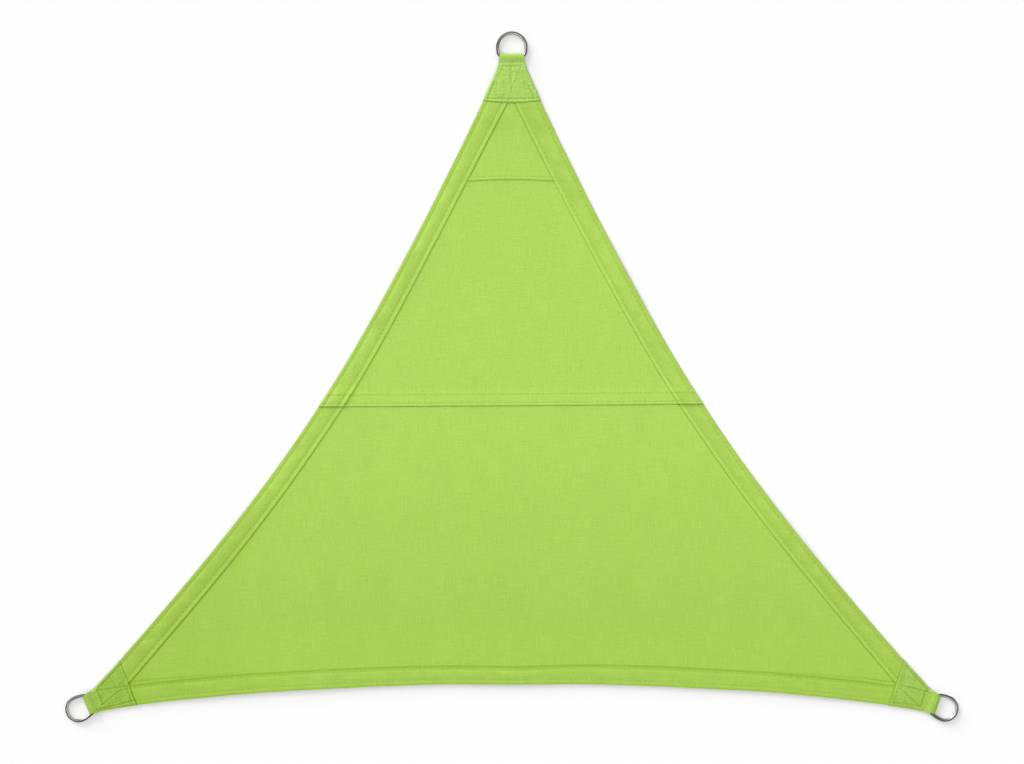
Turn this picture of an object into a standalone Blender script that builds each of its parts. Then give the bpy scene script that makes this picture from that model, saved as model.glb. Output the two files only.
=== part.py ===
"""Triangular shade sail laid flat on the ground, with a steel D-ring at each corner.

The sail is two cloth panels lapped at a cross seam, with hems on all three concave edges, a
reinforcement patch below the apex, and a strip of the same cloth folded round each ring's bar.

Units are metres. +Z is up and +Y runs from the base edge to the apex. The origin is on the
ground, under the middle of the sail's outline box.
"""

import math
from collections import namedtuple

import bmesh
import bpy
import numpy as np
from mathutils import Vector

OBJECT_NAME = "shade_sail"

# Cloth. A hem is the panel's edge turned over, so it is two layers thick.
CLOTH = 0.0012
GAP = 0.0003
HEM = 2 * CLOTH
EDGE_ROUND = 0.0007  # how far a turned edge is rounded off, above and below
EDGE_RUN = 0.0009  # how far in from the edge the rounding reaches
STEP_RUN = 0.0006  # width of the step from a hem down to the single cloth
STEP_LEAD = 0.004  # how far inside a hem a lapped panel starts to climb over it

# Outline: each side edge passes through the side stations, and the base edge through the
# base stations, as one smooth curve. Both are mirrored about x = 0.
SideStation = namedtuple("SideStation", "height half_width")
SIDE_STATIONS = (
    SideStation(0.720, 0.0262),
    SideStation(0.432, 0.1652),
    SideStation(0.144, 0.3170),
    SideStation(-0.144, 0.4950),
    SideStation(-0.432, 0.7135),
    SideStation(-0.720, 0.9587),
)
BaseStation = namedtuple("BaseStation", "from_middle height")
BASE_STATIONS = (
    BaseStation(0.00, -0.7085),
    BaseStation(0.50, -0.7225),
    BaseStation(0.90, -0.7617),
)
SIDE_REACH = SIDE_STATIONS[0].height
BASE_REACH = BASE_STATIONS[-1].from_middle

# Hem widths, narrowest at the middle of each edge.
SIDE_HEM_MIDDLE = 0.0470
SIDE_HEM_END = 0.0545
BASE_HEM_MIDDLE = 0.0435
BASE_HEM_END = 0.0475

# Cross seam: the upper panel's lower edge, and how far it laps over the lower panel.
SEAM_LEFT = -0.0692
SEAM_RIGHT = -0.0628
SEAM_HALF_SPAN = 0.442
LAP = 0.028
LAP_SETTLE = 0.030  # the upper panel is back on the ground this far past the lap
LAP_MARGIN = 0.003

# Patch below the apex. It reaches under the top strip and under both hems.
PATCH_EDGE_MIDDLE = 0.4546
PATCH_EDGE_BOW = 0.0051
PATCH_EDGE_HALF = 0.0963
PATCH_TIP = 0.6370
PATCH_SIDE_GAP = 0.0008
PATCH_STACK = CLOTH + GAP
PATCH_RAMP = 0.012
HEMS_MEET = 0.6385  # above this height the two side hems close over each other
HEMS_MEET_HALF = 0.0030

# Rings, and the strips that hold them.
WIRE_RADIUS = 0.0035
CROWN_HEIGHT = WIRE_RADIUS  # the ring's arc lies on the ground
BAR_HEIGHT = CLOTH + GAP + WIRE_RADIUS  # its bar lies on the strip's lower layer
FOLD_SLACK = 0.0002
FOLD_RADIUS = WIRE_RADIUS + GAP + FOLD_SLACK + CLOTH / 2
STRIP_MARGIN = 0.0006  # the least a strip stands out past the sail's own edge
STRIP_CLEARANCE = 0.0005
STRIP_SETTLE = 0.022  # the upper layer is down on the sail this far behind the bar
CORNER_CUT = 0.016  # the sail's corner is cut off this far behind the bar
CORNER_RISE = CLOTH + 0.0005  # the sail's corner lies on the strip's lower layer
CORNER_RISE_PAST = 0.028
CORNER_RAMP = 0.045
BASE_HEM_RAMP = 0.014
LEG_RADIUS = 0.0715  # a ring's legs are bowed a little outward
RING_RESOLUTION = 3
WIRE_SIDES = 4 + 2 * RING_RESOLUTION
ARC_SEGMENTS = 17
LEG_SEGMENTS = 3
BEND_SEGMENTS = 5
FOLD_SEGMENTS = 8

# A strip's half widths, from its fold back to its end, on the left and on the right of its middle
# line as seen looking out along it. The first station is the fold's own edge.
Reach = namedtuple("Reach", "behind left right")
REACHES = {
    "top": (
        Reach(-0.0069, 0.0267, 0.0267),
        Reach(0.000, 0.0289, 0.0289),
        Reach(0.010, 0.0293, 0.0293),
        Reach(0.018, 0.0311, 0.0311),
        Reach(0.030, 0.0351, 0.0351),
        Reach(0.050, 0.0438, 0.0438),
        Reach(0.080, 0.0574, 0.0574),
        Reach(0.110, 0.0700, 0.0700),
    ),
    "left": (
        Reach(-0.0081, 0.0203, 0.0186),
        Reach(0.000, 0.0237, 0.0244),
        Reach(0.010, 0.0250, 0.0260),
        Reach(0.018, 0.0254, 0.0278),
        Reach(0.030, 0.0270, 0.0320),
        Reach(0.050, 0.0309, 0.0423),
        Reach(0.080, 0.0375, 0.0559),
        Reach(0.110, 0.0445, 0.0718),
    ),
    "right": (
        Reach(-0.0064, 0.0168, 0.0200),
        Reach(0.000, 0.0236, 0.0234),
        Reach(0.010, 0.0258, 0.0239),
        Reach(0.018, 0.0279, 0.0244),
        Reach(0.030, 0.0326, 0.0255),
        Reach(0.050, 0.0448, 0.0287),
        Reach(0.080, 0.0606, 0.0336),
        Reach(0.110, 0.0784, 0.0392),
    ),
}

# Each corner's strip runs out along its angle. Its ring's bar lies a little behind the strip's
# zero and across from it, and the ring's arc points along the ring's own angle.
Corner = namedtuple(
    "Corner",
    "name x y strip_angle strip_length strip_bow flare"
    " bar_behind bar_across ring_angle ring_width ring_height ring_bend",
)
CORNERS = (
    Corner("top", 0.0, 0.7375, 90.0, 0.1015, 0.0045, 0.0012,
           0.0, 0.0, 90.0, 0.0725, 0.0545, 0.0110),
    Corner("left", -0.9742, -0.7549, 201.5, 0.1020, 0.0, 0.0,
           0.0015, -0.0006, 206.5, 0.0612, 0.0564, 0.0085),
    Corner("right", 0.9768, -0.7547, -18.5, 0.1020, 0.0, 0.0,
           0.0034, -0.0007, -23.5, 0.0612, 0.0554, 0.0085),
)

# Where an edge stands a little off the ground. The middle is a distance along X on the base
# edge and a height along Y on a side edge, and the depth is how far in from the edge it fades.
# The base edge's swells run into each other, so that it is off the ground all along.
Swell = namedtuple("Swell", "edge middle half_length lift depth")
SWELLS = (
    Swell("base", -0.705, 0.235, 0.0046, 0.15),
    Swell("base", -0.470, 0.235, 0.0052, 0.16),
    Swell("base", -0.235, 0.235, 0.0043, 0.14),
    Swell("base", 0.000, 0.235, 0.0046, 0.14),
    Swell("base", 0.235, 0.235, 0.0041, 0.13),
    Swell("base", 0.470, 0.235, 0.0047, 0.15),
    Swell("base", 0.705, 0.235, 0.0050, 0.16),
    Swell("left", 0.22, 0.18, 0.0025, 0.09),
    Swell("left", -0.37, 0.21, 0.0030, 0.09),
    Swell("right", 0.22, 0.18, 0.0040, 0.10),
    Swell("right", -0.38, 0.23, 0.0050, 0.10),
)

# Rows and columns of the sheets' grids.
HEM_SHARES = (0.35, 0.70)  # columns across a hem, as shares of its width
HEM_DEPTH = len(HEM_SHARES) + 2  # columns up to this depth are on the hem
LEAD_SHARE = 0.4  # the most of the way to the middle that a lead takes
UPPER_INNER = (0.0, 0.12, 0.24, 0.37, 0.5, 0.63, 0.76, 0.88, 1.0)
LOWER_INNER = (0.0, 0.02, 0.06, 0.13, 0.22, 0.31, 0.40, 0.5, 0.60, 0.69, 0.78, 0.87, 0.94,
               0.98, 1.0)
UPPER_OPEN_ROWS = 9
UPPER_SETTLE_ROWS = 3
UPPER_TOP_ROWS = 4
SEAM_TILT_FADE = 0.3  # the upper panel's rows are level this far above the seam
LOWER_OPEN_ROWS = 10
LOWER_ROW_SPREAD = 1.7  # above 1, the lower panel's rows are closer near the base hem
PATCH_ROWS = 9
PATCH_COLUMNS = 7
STRIP_COLUMNS = 13
STRIP_SHARES = (1.0, 0.82, 0.64, 0.48, 0.36, 0.27, 0.20, 0.13, 0.07, 0.03, 0.0)
STRIP_WIDEST = 0.15

# A row or column meets an edge where repeated steps settle, starting from a rough reach.
SOLVE_STEPS = 24
FIRST_REACH = 0.5

Finish = namedtuple("Finish", "name color metallic roughness")
LIME_CLOTH = Finish("lime_cloth", (0.430, 0.680, 0.120, 1.0), 0.0, 0.85)
LIME_TAPE = Finish("lime_tape", (0.450, 0.690, 0.130, 1.0), 0.0, 0.80)
STEEL = Finish("polished_steel", (0.560, 0.565, 0.570, 1.0), 1.0, 0.22)

SIDE_CURVE = np.polyfit(
    [s.height for s in SIDE_STATIONS],
    [s.half_width for s in SIDE_STATIONS],
    len(SIDE_STATIONS) - 1,
)
SIDE_LEAN = np.polyder(SIDE_CURVE)
BASE_CURVE = np.polyfit(
    [s.from_middle**2 for s in BASE_STATIONS],
    [s.height for s in BASE_STATIONS],
    len(BASE_STATIONS) - 1,
)


def smooth(share):
    """A soft step from 0 to 1 as share goes from 0 to 1."""
    t = min(max(share, 0.0), 1.0)
    return t * t * (3 - 2 * t)


def mix(a, b, share):
    """The value that lies the given share of the way from a to b."""
    return a + (b - a) * share


def side_half_width(y):
    """Half the sail's width at height y."""
    return float(np.polyval(SIDE_CURVE, y))


def side_hem_inset(y):
    """How far in from the side edge its hem's inner line lies, measured along X."""
    width = mix(SIDE_HEM_MIDDLE, SIDE_HEM_END, (y / SIDE_REACH) ** 2)
    return width * math.hypot(1.0, float(np.polyval(SIDE_LEAN, y)))


def base_edge(x):
    """Height of the base edge at x."""
    return float(np.polyval(BASE_CURVE, x * x))


def base_hem_line(x):
    """Height of the base hem's inner line at x."""
    return base_edge(x) + mix(BASE_HEM_MIDDLE, BASE_HEM_END, (x / BASE_REACH) ** 2)


def seam(x):
    """Height of the cross seam at x."""
    return mix(SEAM_LEFT, SEAM_RIGHT, 0.5 + 0.5 * x / SEAM_HALF_SPAN)


def patch_edge(x):
    """Height of the patch's lower edge at x."""
    return PATCH_EDGE_MIDDLE - PATCH_EDGE_BOW * (x / PATCH_EDGE_HALF) ** 2


def inside_outline(x, y):
    """Whether the point lies on the sail."""
    return abs(x) <= side_half_width(y) and y >= base_edge(x)


def corner_point(corner, out, across):
    """The point that lies out along a corner's strip from its bar, and across it."""
    angle = math.radians(corner.strip_angle)
    x = corner.x + out * math.cos(angle) - across * math.sin(angle)
    y = corner.y + out * math.sin(angle) + across * math.cos(angle)
    return x, y


def behind_corner(corner, x, y):
    """How far behind the corner's bar the point lies, along its strip."""
    angle = math.radians(corner.strip_angle)
    return -((x - corner.x) * math.cos(angle) + (y - corner.y) * math.sin(angle))


def corner_rise(x, y):
    """How far the strips' lower layers lift the sail at a point."""
    rise = 0.0
    for corner in CORNERS:
        past = behind_corner(corner, x, y) - corner.strip_length - corner.strip_bow
        share = smooth((past - CORNER_RISE_PAST) / CORNER_RAMP)
        rise = max(rise, CORNER_RISE * (1 - share))
    return rise


def swell_lift(x, y):
    """How far the swells in the edges lift the cloth at a point."""
    lift = 0.0
    for swell in SWELLS:
        if swell.edge == "base":
            along, inward = x, y - base_edge(x)
        else:
            side = 1 if swell.edge == "right" else -1
            along, inward = y, side_half_width(y) - side * x
        reach = abs(along - swell.middle) / swell.half_length
        if reach < 1:
            crest = math.cos(math.pi / 2 * reach) ** 2
            lift += swell.lift * crest * (1 - smooth(inward / swell.depth))
    return lift


def ground(x, y):
    """Height of the cloth's underside where nothing but the ground and the strips is below."""
    return corner_rise(x, y) + swell_lift(x, y)


def cut_reach(y, corner):
    """How far from x = 0 a base corner's blunt cut lies at height y."""
    angle = math.radians(corner.strip_angle)
    cut_x, cut_y = corner_point(corner, -CORNER_CUT, 0.0)
    return abs(cut_x - (y - cut_y) * math.tan(angle))


def row_end(row_height, side, corner=None):
    """Where a row that follows row_height(x) meets the outline on one side."""
    reach = FIRST_REACH
    for _ in range(SOLVE_STEPS):
        y = row_height(side * reach)
        reach = side_half_width(y)
        if corner is not None:
            reach = min(reach, cut_reach(y, corner))
    return reach


def sheet_columns(row_height, ends, inner_shares, narrowest):
    """The x of each column of a row, and how many columns in from its edge each one is.

    The first columns cross the hem from its edge to its step, the next leads up to it, and
    the inner shares are spread over the single cloth between the two hems.
    """
    halves = []
    for side, end in zip((-1, 1), ends):
        line = end
        for _ in range(SOLVE_STEPS):
            y = row_height(side * line)
            line = max(side_half_width(y) - side_hem_inset(y), narrowest)
        hem = end - line
        lead = min(STEP_LEAD, LEAD_SHARE * line)
        half = [end, end - EDGE_RUN]
        half += [end - share * hem for share in HEM_SHARES]
        half += [line + STEP_RUN, line]
        halves.append([side * x for x in half] + [side * (line - lead)])
    left, right = halves
    inner = [mix(left[-1], right[-1], share) for share in inner_shares]
    xs = left[:-1] + inner + right[-2::-1]
    depth = list(range(len(left) - 1)) + [len(left) - 1] * len(inner)
    return list(zip(xs, depth + list(range(len(right) - 2, -1, -1))))


def closed_sheet(name, rows, finish):
    """A closed sheet from rows of (x, y, underside, top): a grid, extruded upward and shaped."""
    columns = len(rows[0])
    bm = bmesh.new()
    bmesh.ops.create_grid(bm, x_segments=columns - 1, y_segments=len(rows) - 1, size=0.5)
    under = list(bm.verts)
    extruded = bmesh.ops.extrude_face_region(bm, geom=bm.faces[:])
    over = [item for item in extruded["geom"] if isinstance(item, bmesh.types.BMVert)]
    for verts, height_index in ((under, 2), (over, 3)):
        for vert in verts:
            column = round((vert.co.x + 0.5) * (columns - 1))
            row = round((vert.co.y + 0.5) * (len(rows) - 1))
            point = rows[row][column]
            vert.co = Vector((point[0], point[1], point[height_index]))
    bmesh.ops.recalc_face_normals(bm, faces=bm.faces[:])
    return mesh_object(name, bm, finish)


def mesh_object(name, bm, finish):
    """An object of the bmesh, with its finish, in the object's collection."""
    mesh = bpy.data.meshes.new(name)
    bm.to_mesh(mesh)
    bm.free()
    mesh.materials.append(material(finish))
    made = bpy.data.objects.new(name, mesh)
    bpy.data.collections[OBJECT_NAME].objects.link(made)
    return made


def material(finish):
    """The finish as a Principled material, made once."""
    found = bpy.data.materials.get(finish.name)
    if found:
        return found
    made = bpy.data.materials.new(finish.name)
    made.use_nodes = True
    shader = made.node_tree.nodes["Principled BSDF"]
    shader.inputs["Base Color"].default_value = finish.color
    shader.inputs["Metallic"].default_value = finish.metallic
    shader.inputs["Roughness"].default_value = finish.roughness
    return made


def layered_point(x, y, underside, thickness, on_edge):
    """A sheet's point, with its edge rounded off."""
    rounding = EDGE_ROUND if on_edge else 0.0
    return x, y, underside + rounding, underside + thickness - rounding


def lower_panel():
    """Lower panel: from the base edge to its raw edge under the lap, hems on three edges."""
    hem_rows = (0.0, EDGE_RUN, *HEM_SHARES)
    heights = []
    for share in hem_rows[:2]:
        heights.append(lambda x, s=share: base_edge(x) + s)
    for share in hem_rows[2:]:
        heights.append(lambda x, s=share: mix(base_edge(x), base_hem_line(x), s))
    heights.append(lambda x: base_hem_line(x) - STEP_RUN)
    for k in range(LOWER_OPEN_ROWS + 1):
        share = (k / LOWER_OPEN_ROWS) ** LOWER_ROW_SPREAD
        heights.append(lambda x, s=share: mix(base_hem_line(x), seam(x), s))
    heights.append(lambda x: seam(x) + LAP)
    base_corners = (CORNERS[1], CORNERS[2])
    rows = []
    for index, height in enumerate(heights):
        ends = [row_end(height, s, c) for s, c in zip((-1, 1), base_corners)]
        on_base_hem = index <= HEM_DEPTH
        row = []
        for x, depth in sheet_columns(height, ends, LOWER_INNER, HEMS_MEET_HALF):
            y = height(x)
            layers = 1 + (depth <= HEM_DEPTH) + on_base_hem
            row.append(layered_point(x, y, ground(x, y), layers * CLOTH, index == 0 or depth == 0))
        rows.append(row)
    return closed_sheet("sail_panel_lower", rows, LIME_CLOTH)


def upper_row(level):
    """A row of the upper panel: along the seam at its foot, and level from the patch up."""
    def height(x):
        tilt = 1 - smooth((level - seam(0.0)) / SEAM_TILT_FADE)
        return level + (seam(x) - seam(0.0)) * tilt
    return height


def levels_between(low, high, count):
    """Evenly spaced levels above low, the last of them at high."""
    return [mix(low, high, k / count) for k in range(1, count + 1)]


def upper_panel():
    """Upper panel: from the lap to the apex, with a hem on each side."""
    foot = seam(0.0)
    lap_top = foot + LAP + LAP_MARGIN
    settled = foot + LAP + LAP_SETTLE
    strip_end = CORNERS[0].y - CORNERS[0].strip_length - CORNERS[0].strip_bow
    levels = [foot, foot + LAP / 2, lap_top]
    levels += levels_between(lap_top, settled, UPPER_SETTLE_ROWS)
    last_open = PATCH_EDGE_MIDDLE - PATCH_EDGE_BOW - PATCH_RAMP
    levels += levels_between(settled, last_open, UPPER_OPEN_ROWS)
    levels += [PATCH_EDGE_MIDDLE - PATCH_EDGE_BOW, PATCH_EDGE_MIDDLE + PATCH_RAMP]
    ramp_foot = strip_end - CORNER_RISE_PAST - CORNER_RAMP
    levels += levels_between(levels[-1], ramp_foot, UPPER_TOP_ROWS)
    levels += levels_between(ramp_foot, strip_end, UPPER_TOP_ROWS)
    levels += [HEMS_MEET - STEP_RUN, HEMS_MEET]
    levels += levels_between(HEMS_MEET, CORNERS[0].y - CORNER_CUT, UPPER_TOP_ROWS)
    rows = []
    for level in levels:
        height = upper_row(level)
        ends = [row_end(height, side) for side in (-1, 1)]
        row = []
        for x, depth in sheet_columns(height, ends, UPPER_INNER, HEMS_MEET_HALF):
            y = height(x)
            on_hem = depth <= HEM_DEPTH
            doubled = on_hem or level >= HEMS_MEET
            stacked = smooth((y - patch_edge(x)) / PATCH_RAMP) * PATCH_STACK
            thickness = HEM + stacked if doubled else CLOTH
            over_lap = (HEM if depth <= HEM_DEPTH + 1 else CLOTH) + GAP
            settle = smooth((level - lap_top) / (settled - lap_top))
            underside = ground(x, y) + over_lap * (1 - settle)
            row.append(layered_point(x, y, underside, thickness, depth == 0))
        rows.append(row)
    return closed_sheet("sail_panel_upper", rows, LIME_CLOTH)


def patch():
    """Reinforcement patch, on the upper panel between its hems, its tip under the top strip."""
    rows = []
    for k in range(PATCH_ROWS):
        share = k / (PATCH_ROWS - 1)
        row = []
        for column in range(PATCH_COLUMNS):
            across = mix(-1.0, 1.0, column / (PATCH_COLUMNS - 1))
            x = across * PATCH_EDGE_HALF
            for _ in range(SOLVE_STEPS):
                y = mix(patch_edge(x), PATCH_TIP, share)
                half = side_half_width(y) - side_hem_inset(y) - PATCH_SIDE_GAP
                x = across * max(half, HEMS_MEET_HALF - PATCH_SIDE_GAP)
            underside = ground(x, y) + CLOTH + GAP
            row.append((x, y, underside, underside + CLOTH))
        rows.append(row)
    return closed_sheet("apex_patch", rows, LIME_CLOTH)


def strip_reach(corner, behind, side):
    """How far a strip reaches from its middle line, to its left (1) or right (-1)."""
    stations = REACHES[corner.name]
    spots = [station.behind for station in stations]
    widths = [station.left if side > 0 else station.right for station in stations]
    reach = float(np.interp(behind, spots, widths))
    if not inside_outline(*corner_point(corner, -behind, 0.0)):
        return reach
    near, far = 0.0, STRIP_WIDEST
    for _ in range(SOLVE_STEPS):
        middle = (near + far) / 2
        if inside_outline(*corner_point(corner, -behind, side * middle)):
            near = middle
        else:
            far = middle
    return max(reach, near + STRIP_MARGIN)


def sail_top(x, y):
    """Height of the sail's upper face in a corner above the swells, under the strip."""
    layers = HEM + CORNER_RISE
    if y > 0:
        return layers + PATCH_STACK
    return layers + CLOTH * smooth((base_hem_line(x) + BASE_HEM_RAMP + GAP - y) / BASE_HEM_RAMP)


def strip_path(corner):
    """Stations along a strip, from its end on the sail, round the fold and back underneath.

    Each is (share of the way back to its end, turn round the fold in radians, layer).
    """
    upper = [(share, math.pi, "upper") for share in STRIP_SHARES]
    turns = [math.pi * (1 - k / FOLD_SEGMENTS) for k in range(1, FOLD_SEGMENTS)]
    fold = [(0.0, turn, "fold") for turn in turns]
    lower = [(share, 0.0, "lower") for share in reversed(STRIP_SHARES)]
    return upper + fold + lower


def corner_strip(corner):
    """Strip of cloth folded round a ring's bar, one layer over the sail's corner and one under."""
    path = strip_path(corner)
    slack = -REACHES[corner.name][0].behind - FOLD_RADIUS - CLOTH / 2
    bm = bmesh.new()
    bmesh.ops.create_grid(bm, x_segments=len(path) - 1, y_segments=STRIP_COLUMNS - 1, size=0.5)
    for vert in bm.verts:
        share, turn, layer = path[round((vert.co.x + 0.5) * (len(path) - 1))]
        across = 2 * round((vert.co.y + 0.5) * (STRIP_COLUMNS - 1)) / (STRIP_COLUMNS - 1) - 1
        side = 1 if across > 0 else -1
        length = corner.strip_length + corner.strip_bow * (1 - across * across)
        start = slack + corner.flare * abs(across) ** 3
        out = mix(start, -length, share) + FOLD_RADIUS * math.sin(turn) * (layer == "fold")
        aside = across * strip_reach(corner, -out, side)
        height = CLOTH / 2 + FOLD_RADIUS * (1 - math.cos(turn))
        x, y = corner_point(corner, out, aside)
        if layer == "upper":
            level = sail_top(x, y) + STRIP_CLEARANCE + CLOTH / 2
            height = mix(height, level, smooth((-out - corner.bar_behind) / STRIP_SETTLE))
        vert.co = Vector((out, aside, height + swell_lift(x, y)))
    bmesh.ops.recalc_face_normals(bm, faces=bm.faces[:])
    strip = mesh_object("corner_cap_" + corner.name, bm, LIME_TAPE)
    strip.data.shade_smooth()
    thicken = strip.modifiers.new("cloth", "SOLIDIFY")
    thicken.thickness = CLOTH
    thicken.offset = 0.0
    thicken.use_even_offset = True
    strip.location = (corner.x, corner.y, 0.0)
    strip.rotation_euler = (0.0, 0.0, math.radians(corner.strip_angle))
    return strip


def arc(center, radius, start, end, segments):
    """Points of an arc in the ring's plane, angles in degrees."""
    points = []
    for k in range(segments + 1):
        angle = math.radians(mix(start, end, k / segments))
        points.append((center[0] + radius * math.cos(angle), center[1] + radius * math.sin(angle)))
    return points


def ring_outline(corner):
    """Centre line of a D-ring: its bar on x = 0, a bend at each end, two legs and the arc."""
    radius = corner.ring_width / 2 - WIRE_RADIUS
    shoulder = corner.ring_height - radius
    bend = corner.ring_bend
    lean = math.asin((shoulder - bend) / (LEG_RADIUS - bend))
    bar_end = radius - LEG_RADIUS + (LEG_RADIUS - bend) * math.cos(lean)
    leaning = 90 + math.degrees(lean)
    leg_center = radius - LEG_RADIUS
    points = arc((bend, bar_end), bend, 180, leaning, BEND_SEGMENTS)
    points += arc((shoulder, leg_center), LEG_RADIUS, leaning, 90, LEG_SEGMENTS)[1:-1]
    points += arc((shoulder, 0.0), radius, 90, -90, ARC_SEGMENTS)
    points += arc((shoulder, -leg_center), LEG_RADIUS, -90, -leaning, LEG_SEGMENTS)[1:-1]
    points += arc((bend, -bar_end), bend, -leaning, -180, BEND_SEGMENTS)
    return points


def d_ring(corner):
    """Steel D-ring, its bar in the strip's fold and its arc leaning down to the ground."""
    points = ring_outline(corner)
    curve = bpy.data.curves.new("d_ring_" + corner.name, "CURVE")
    curve.dimensions = "3D"
    curve.bevel_depth = WIRE_RADIUS
    curve.bevel_resolution = RING_RESOLUTION
    curve.use_fill_caps = True
    spline = curve.splines.new("POLY")
    spline.points.add(len(points) - 1)
    for point, (x, y) in zip(spline.points, points):
        point.co = (x, y, 0.0, 1.0)
        point.tilt = math.pi / WIRE_SIDES  # a facet faces the ring's middle, not an edge
    spline.use_cyclic_u = True
    spline.use_smooth = True
    curve.materials.append(material(STEEL))
    ring = bpy.data.objects.new("d_ring_" + corner.name, curve)
    bpy.data.collections[OBJECT_NAME].objects.link(ring)
    lean = math.asin((BAR_HEIGHT - CROWN_HEIGHT) / corner.ring_height)
    x, y = corner_point(corner, -corner.bar_behind, corner.bar_across)
    ring.location = (x, y, BAR_HEIGHT)
    ring.rotation_euler = (0.0, lean, math.radians(corner.ring_angle))
    return ring


def clear_scene():
    """Removes what the scene holds, so that only the sail is in it."""
    for old in list(bpy.data.objects):
        bpy.data.objects.remove(old)


def main():
    """Builds every piece of the sail."""
    clear_scene()
    collection = bpy.data.collections.new(OBJECT_NAME)
    bpy.context.scene.collection.children.link(collection)
    lower_panel()
    upper_panel()
    patch()
    for corner in CORNERS:
        corner_strip(corner)
        d_ring(corner)
    bpy.context.view_layer.update()


main()
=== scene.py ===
"""Dresses the shade sail: sewn lime cloth, its stitching and three steel D-rings."""

import logging
import math
from collections.abc import Callable
from dataclasses import dataclass, field
from enum import Enum
from functools import cached_property
from typing import ClassVar

import bmesh
import bpy
import numpy as np
from mathutils import Matrix, Vector, noise
from mathutils.bvhtree import BVHTree


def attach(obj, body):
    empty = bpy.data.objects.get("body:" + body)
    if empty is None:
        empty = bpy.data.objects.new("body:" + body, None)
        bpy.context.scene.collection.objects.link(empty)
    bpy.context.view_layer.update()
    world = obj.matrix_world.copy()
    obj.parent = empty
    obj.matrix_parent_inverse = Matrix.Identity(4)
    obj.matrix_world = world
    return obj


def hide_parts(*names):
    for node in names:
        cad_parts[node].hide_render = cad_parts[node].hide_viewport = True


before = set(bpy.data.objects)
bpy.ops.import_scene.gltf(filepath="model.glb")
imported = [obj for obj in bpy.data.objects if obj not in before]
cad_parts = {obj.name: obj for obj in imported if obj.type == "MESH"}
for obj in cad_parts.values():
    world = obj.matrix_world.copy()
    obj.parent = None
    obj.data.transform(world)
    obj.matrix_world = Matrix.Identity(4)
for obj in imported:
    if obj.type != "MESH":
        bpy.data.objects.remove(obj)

LOG = logging.getLogger("shade_sail")
Array = np.ndarray
Line = Callable[[Array], Array]

BODY = "root"
CLOTH = 0.0006  # thickness of the cloth as sewn
LAYER = 0.00066  # from the middle of one layer to the middle of the next
STRIP_CLOTH = 0.0008
WEAVE = "weave"  # the cut's own coordinates, in metres
SHADE = "shade"  # painted light and shade on the dye: painted shade in folds, creases and along lines, painted highlights on ridges, and random blotches
ROW_GAP = "row_gap"  # distance from the nearest sewn row
ROW_ALONG = "row_along"  # distance along that row
FLANK = "flank"  # from -1 on a ring's inner flank to 1 on its outer flank
UPWARD = "upward"  # from -1 on a wire's underside to 1 on its crown
FAR = 0.05  # further from a sewn row than its needle holes show
PUFF_SHADE_RATE = 160.0  # how much the painted light and shade on a puff grows for each metre of puff
PUFF_SHADE_MOST = 0.05


def smooth(share: Array) -> Array:
    """A soft step from 0 to 1 as share goes from 0 to 1."""
    t = np.clip(share, 0.0, 1.0)
    return t * t * (3 - 2 * t)


def mix(a: Array, b: Array, share: Array) -> Array:
    """The value that lies the given share of the way from a to b."""
    return a + (b - a) * share


@dataclass(frozen=True)
class Unevenness:
    """Soft unevenness over the sail: its swells in a metre, across and up, and its kind."""

    across: float
    up: float
    seed: float

    def at(self, x: Array, y: Array) -> Array:
        """The unevenness at each place, from about -1 to 1.

        Args:
            x: Places across the sail.
            y: Places up the sail.

        Returns:
            The unevenness there.
        """
        flat = np.empty(np.size(x))
        for index, (px, py) in enumerate(zip(np.ravel(x), np.ravel(y))):
            flat[index] = noise.noise(Vector((px * self.across, py * self.up, self.seed)))
        return flat.reshape(np.shape(x))


BROAD_RIPPLE = Unevenness(13.0, 2.6, 3.7)
NARROW_RIPPLE = Unevenness(31.0, 6.5, 9.1)
BROAD_PUFF = Unevenness(38.0, 38.0, 5.3)
NARROW_PUFF = Unevenness(90.0, 90.0, 1.9)
HEM_BLOTCH = Unevenness(24.0, 60.0, 8.8)
BROAD_PUCKER = Unevenness(70.0, 70.0, 12.4)
NARROW_PUCKER = Unevenness(150.0, 150.0, 2.2)


def flowing(at: Array, spots: tuple[float, ...], values: tuple[float, ...]) -> Array:
    """A size that changes softly along a line, from its values at a few spots.

    Args:
        at: Places along the line.
        spots: The spots, in rising order.
        values: The size at each spot.

    Returns:
        The size at each place.
    """
    ease = 0.022
    level = np.interp(at, spots, values)
    return (np.interp(at - ease, spots, values) + 2 * level
            + np.interp(at + ease, spots, values)) / 4


def puff_shade_and_blotches(puff: Array | float, puff_and_blotch: Array) -> Array:
    """Painted light and shade on a puffed cloth, following the noise that lifts its puffs, with
    random blotches.
    """
    return 1 + np.minimum(puff * PUFF_SHADE_RATE, PUFF_SHADE_MOST) * puff_and_blotch


class Side(Enum):
    """A side edge of the sail, by the sign of its X."""

    LEFT = -1
    RIGHT = 1


class Layer(Enum):
    """What part of a folded hem a row or column of the cloth lies in."""

    TUCK = "turned under at the lip"
    TOP = "the hem's upper layer"
    TURN = "the fold at the sail's edge"
    UNDER = "the panel below the hem"
    OPEN = "the panel beside the hem"


# ---------------------------------------------------------------------------------- shape


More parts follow.
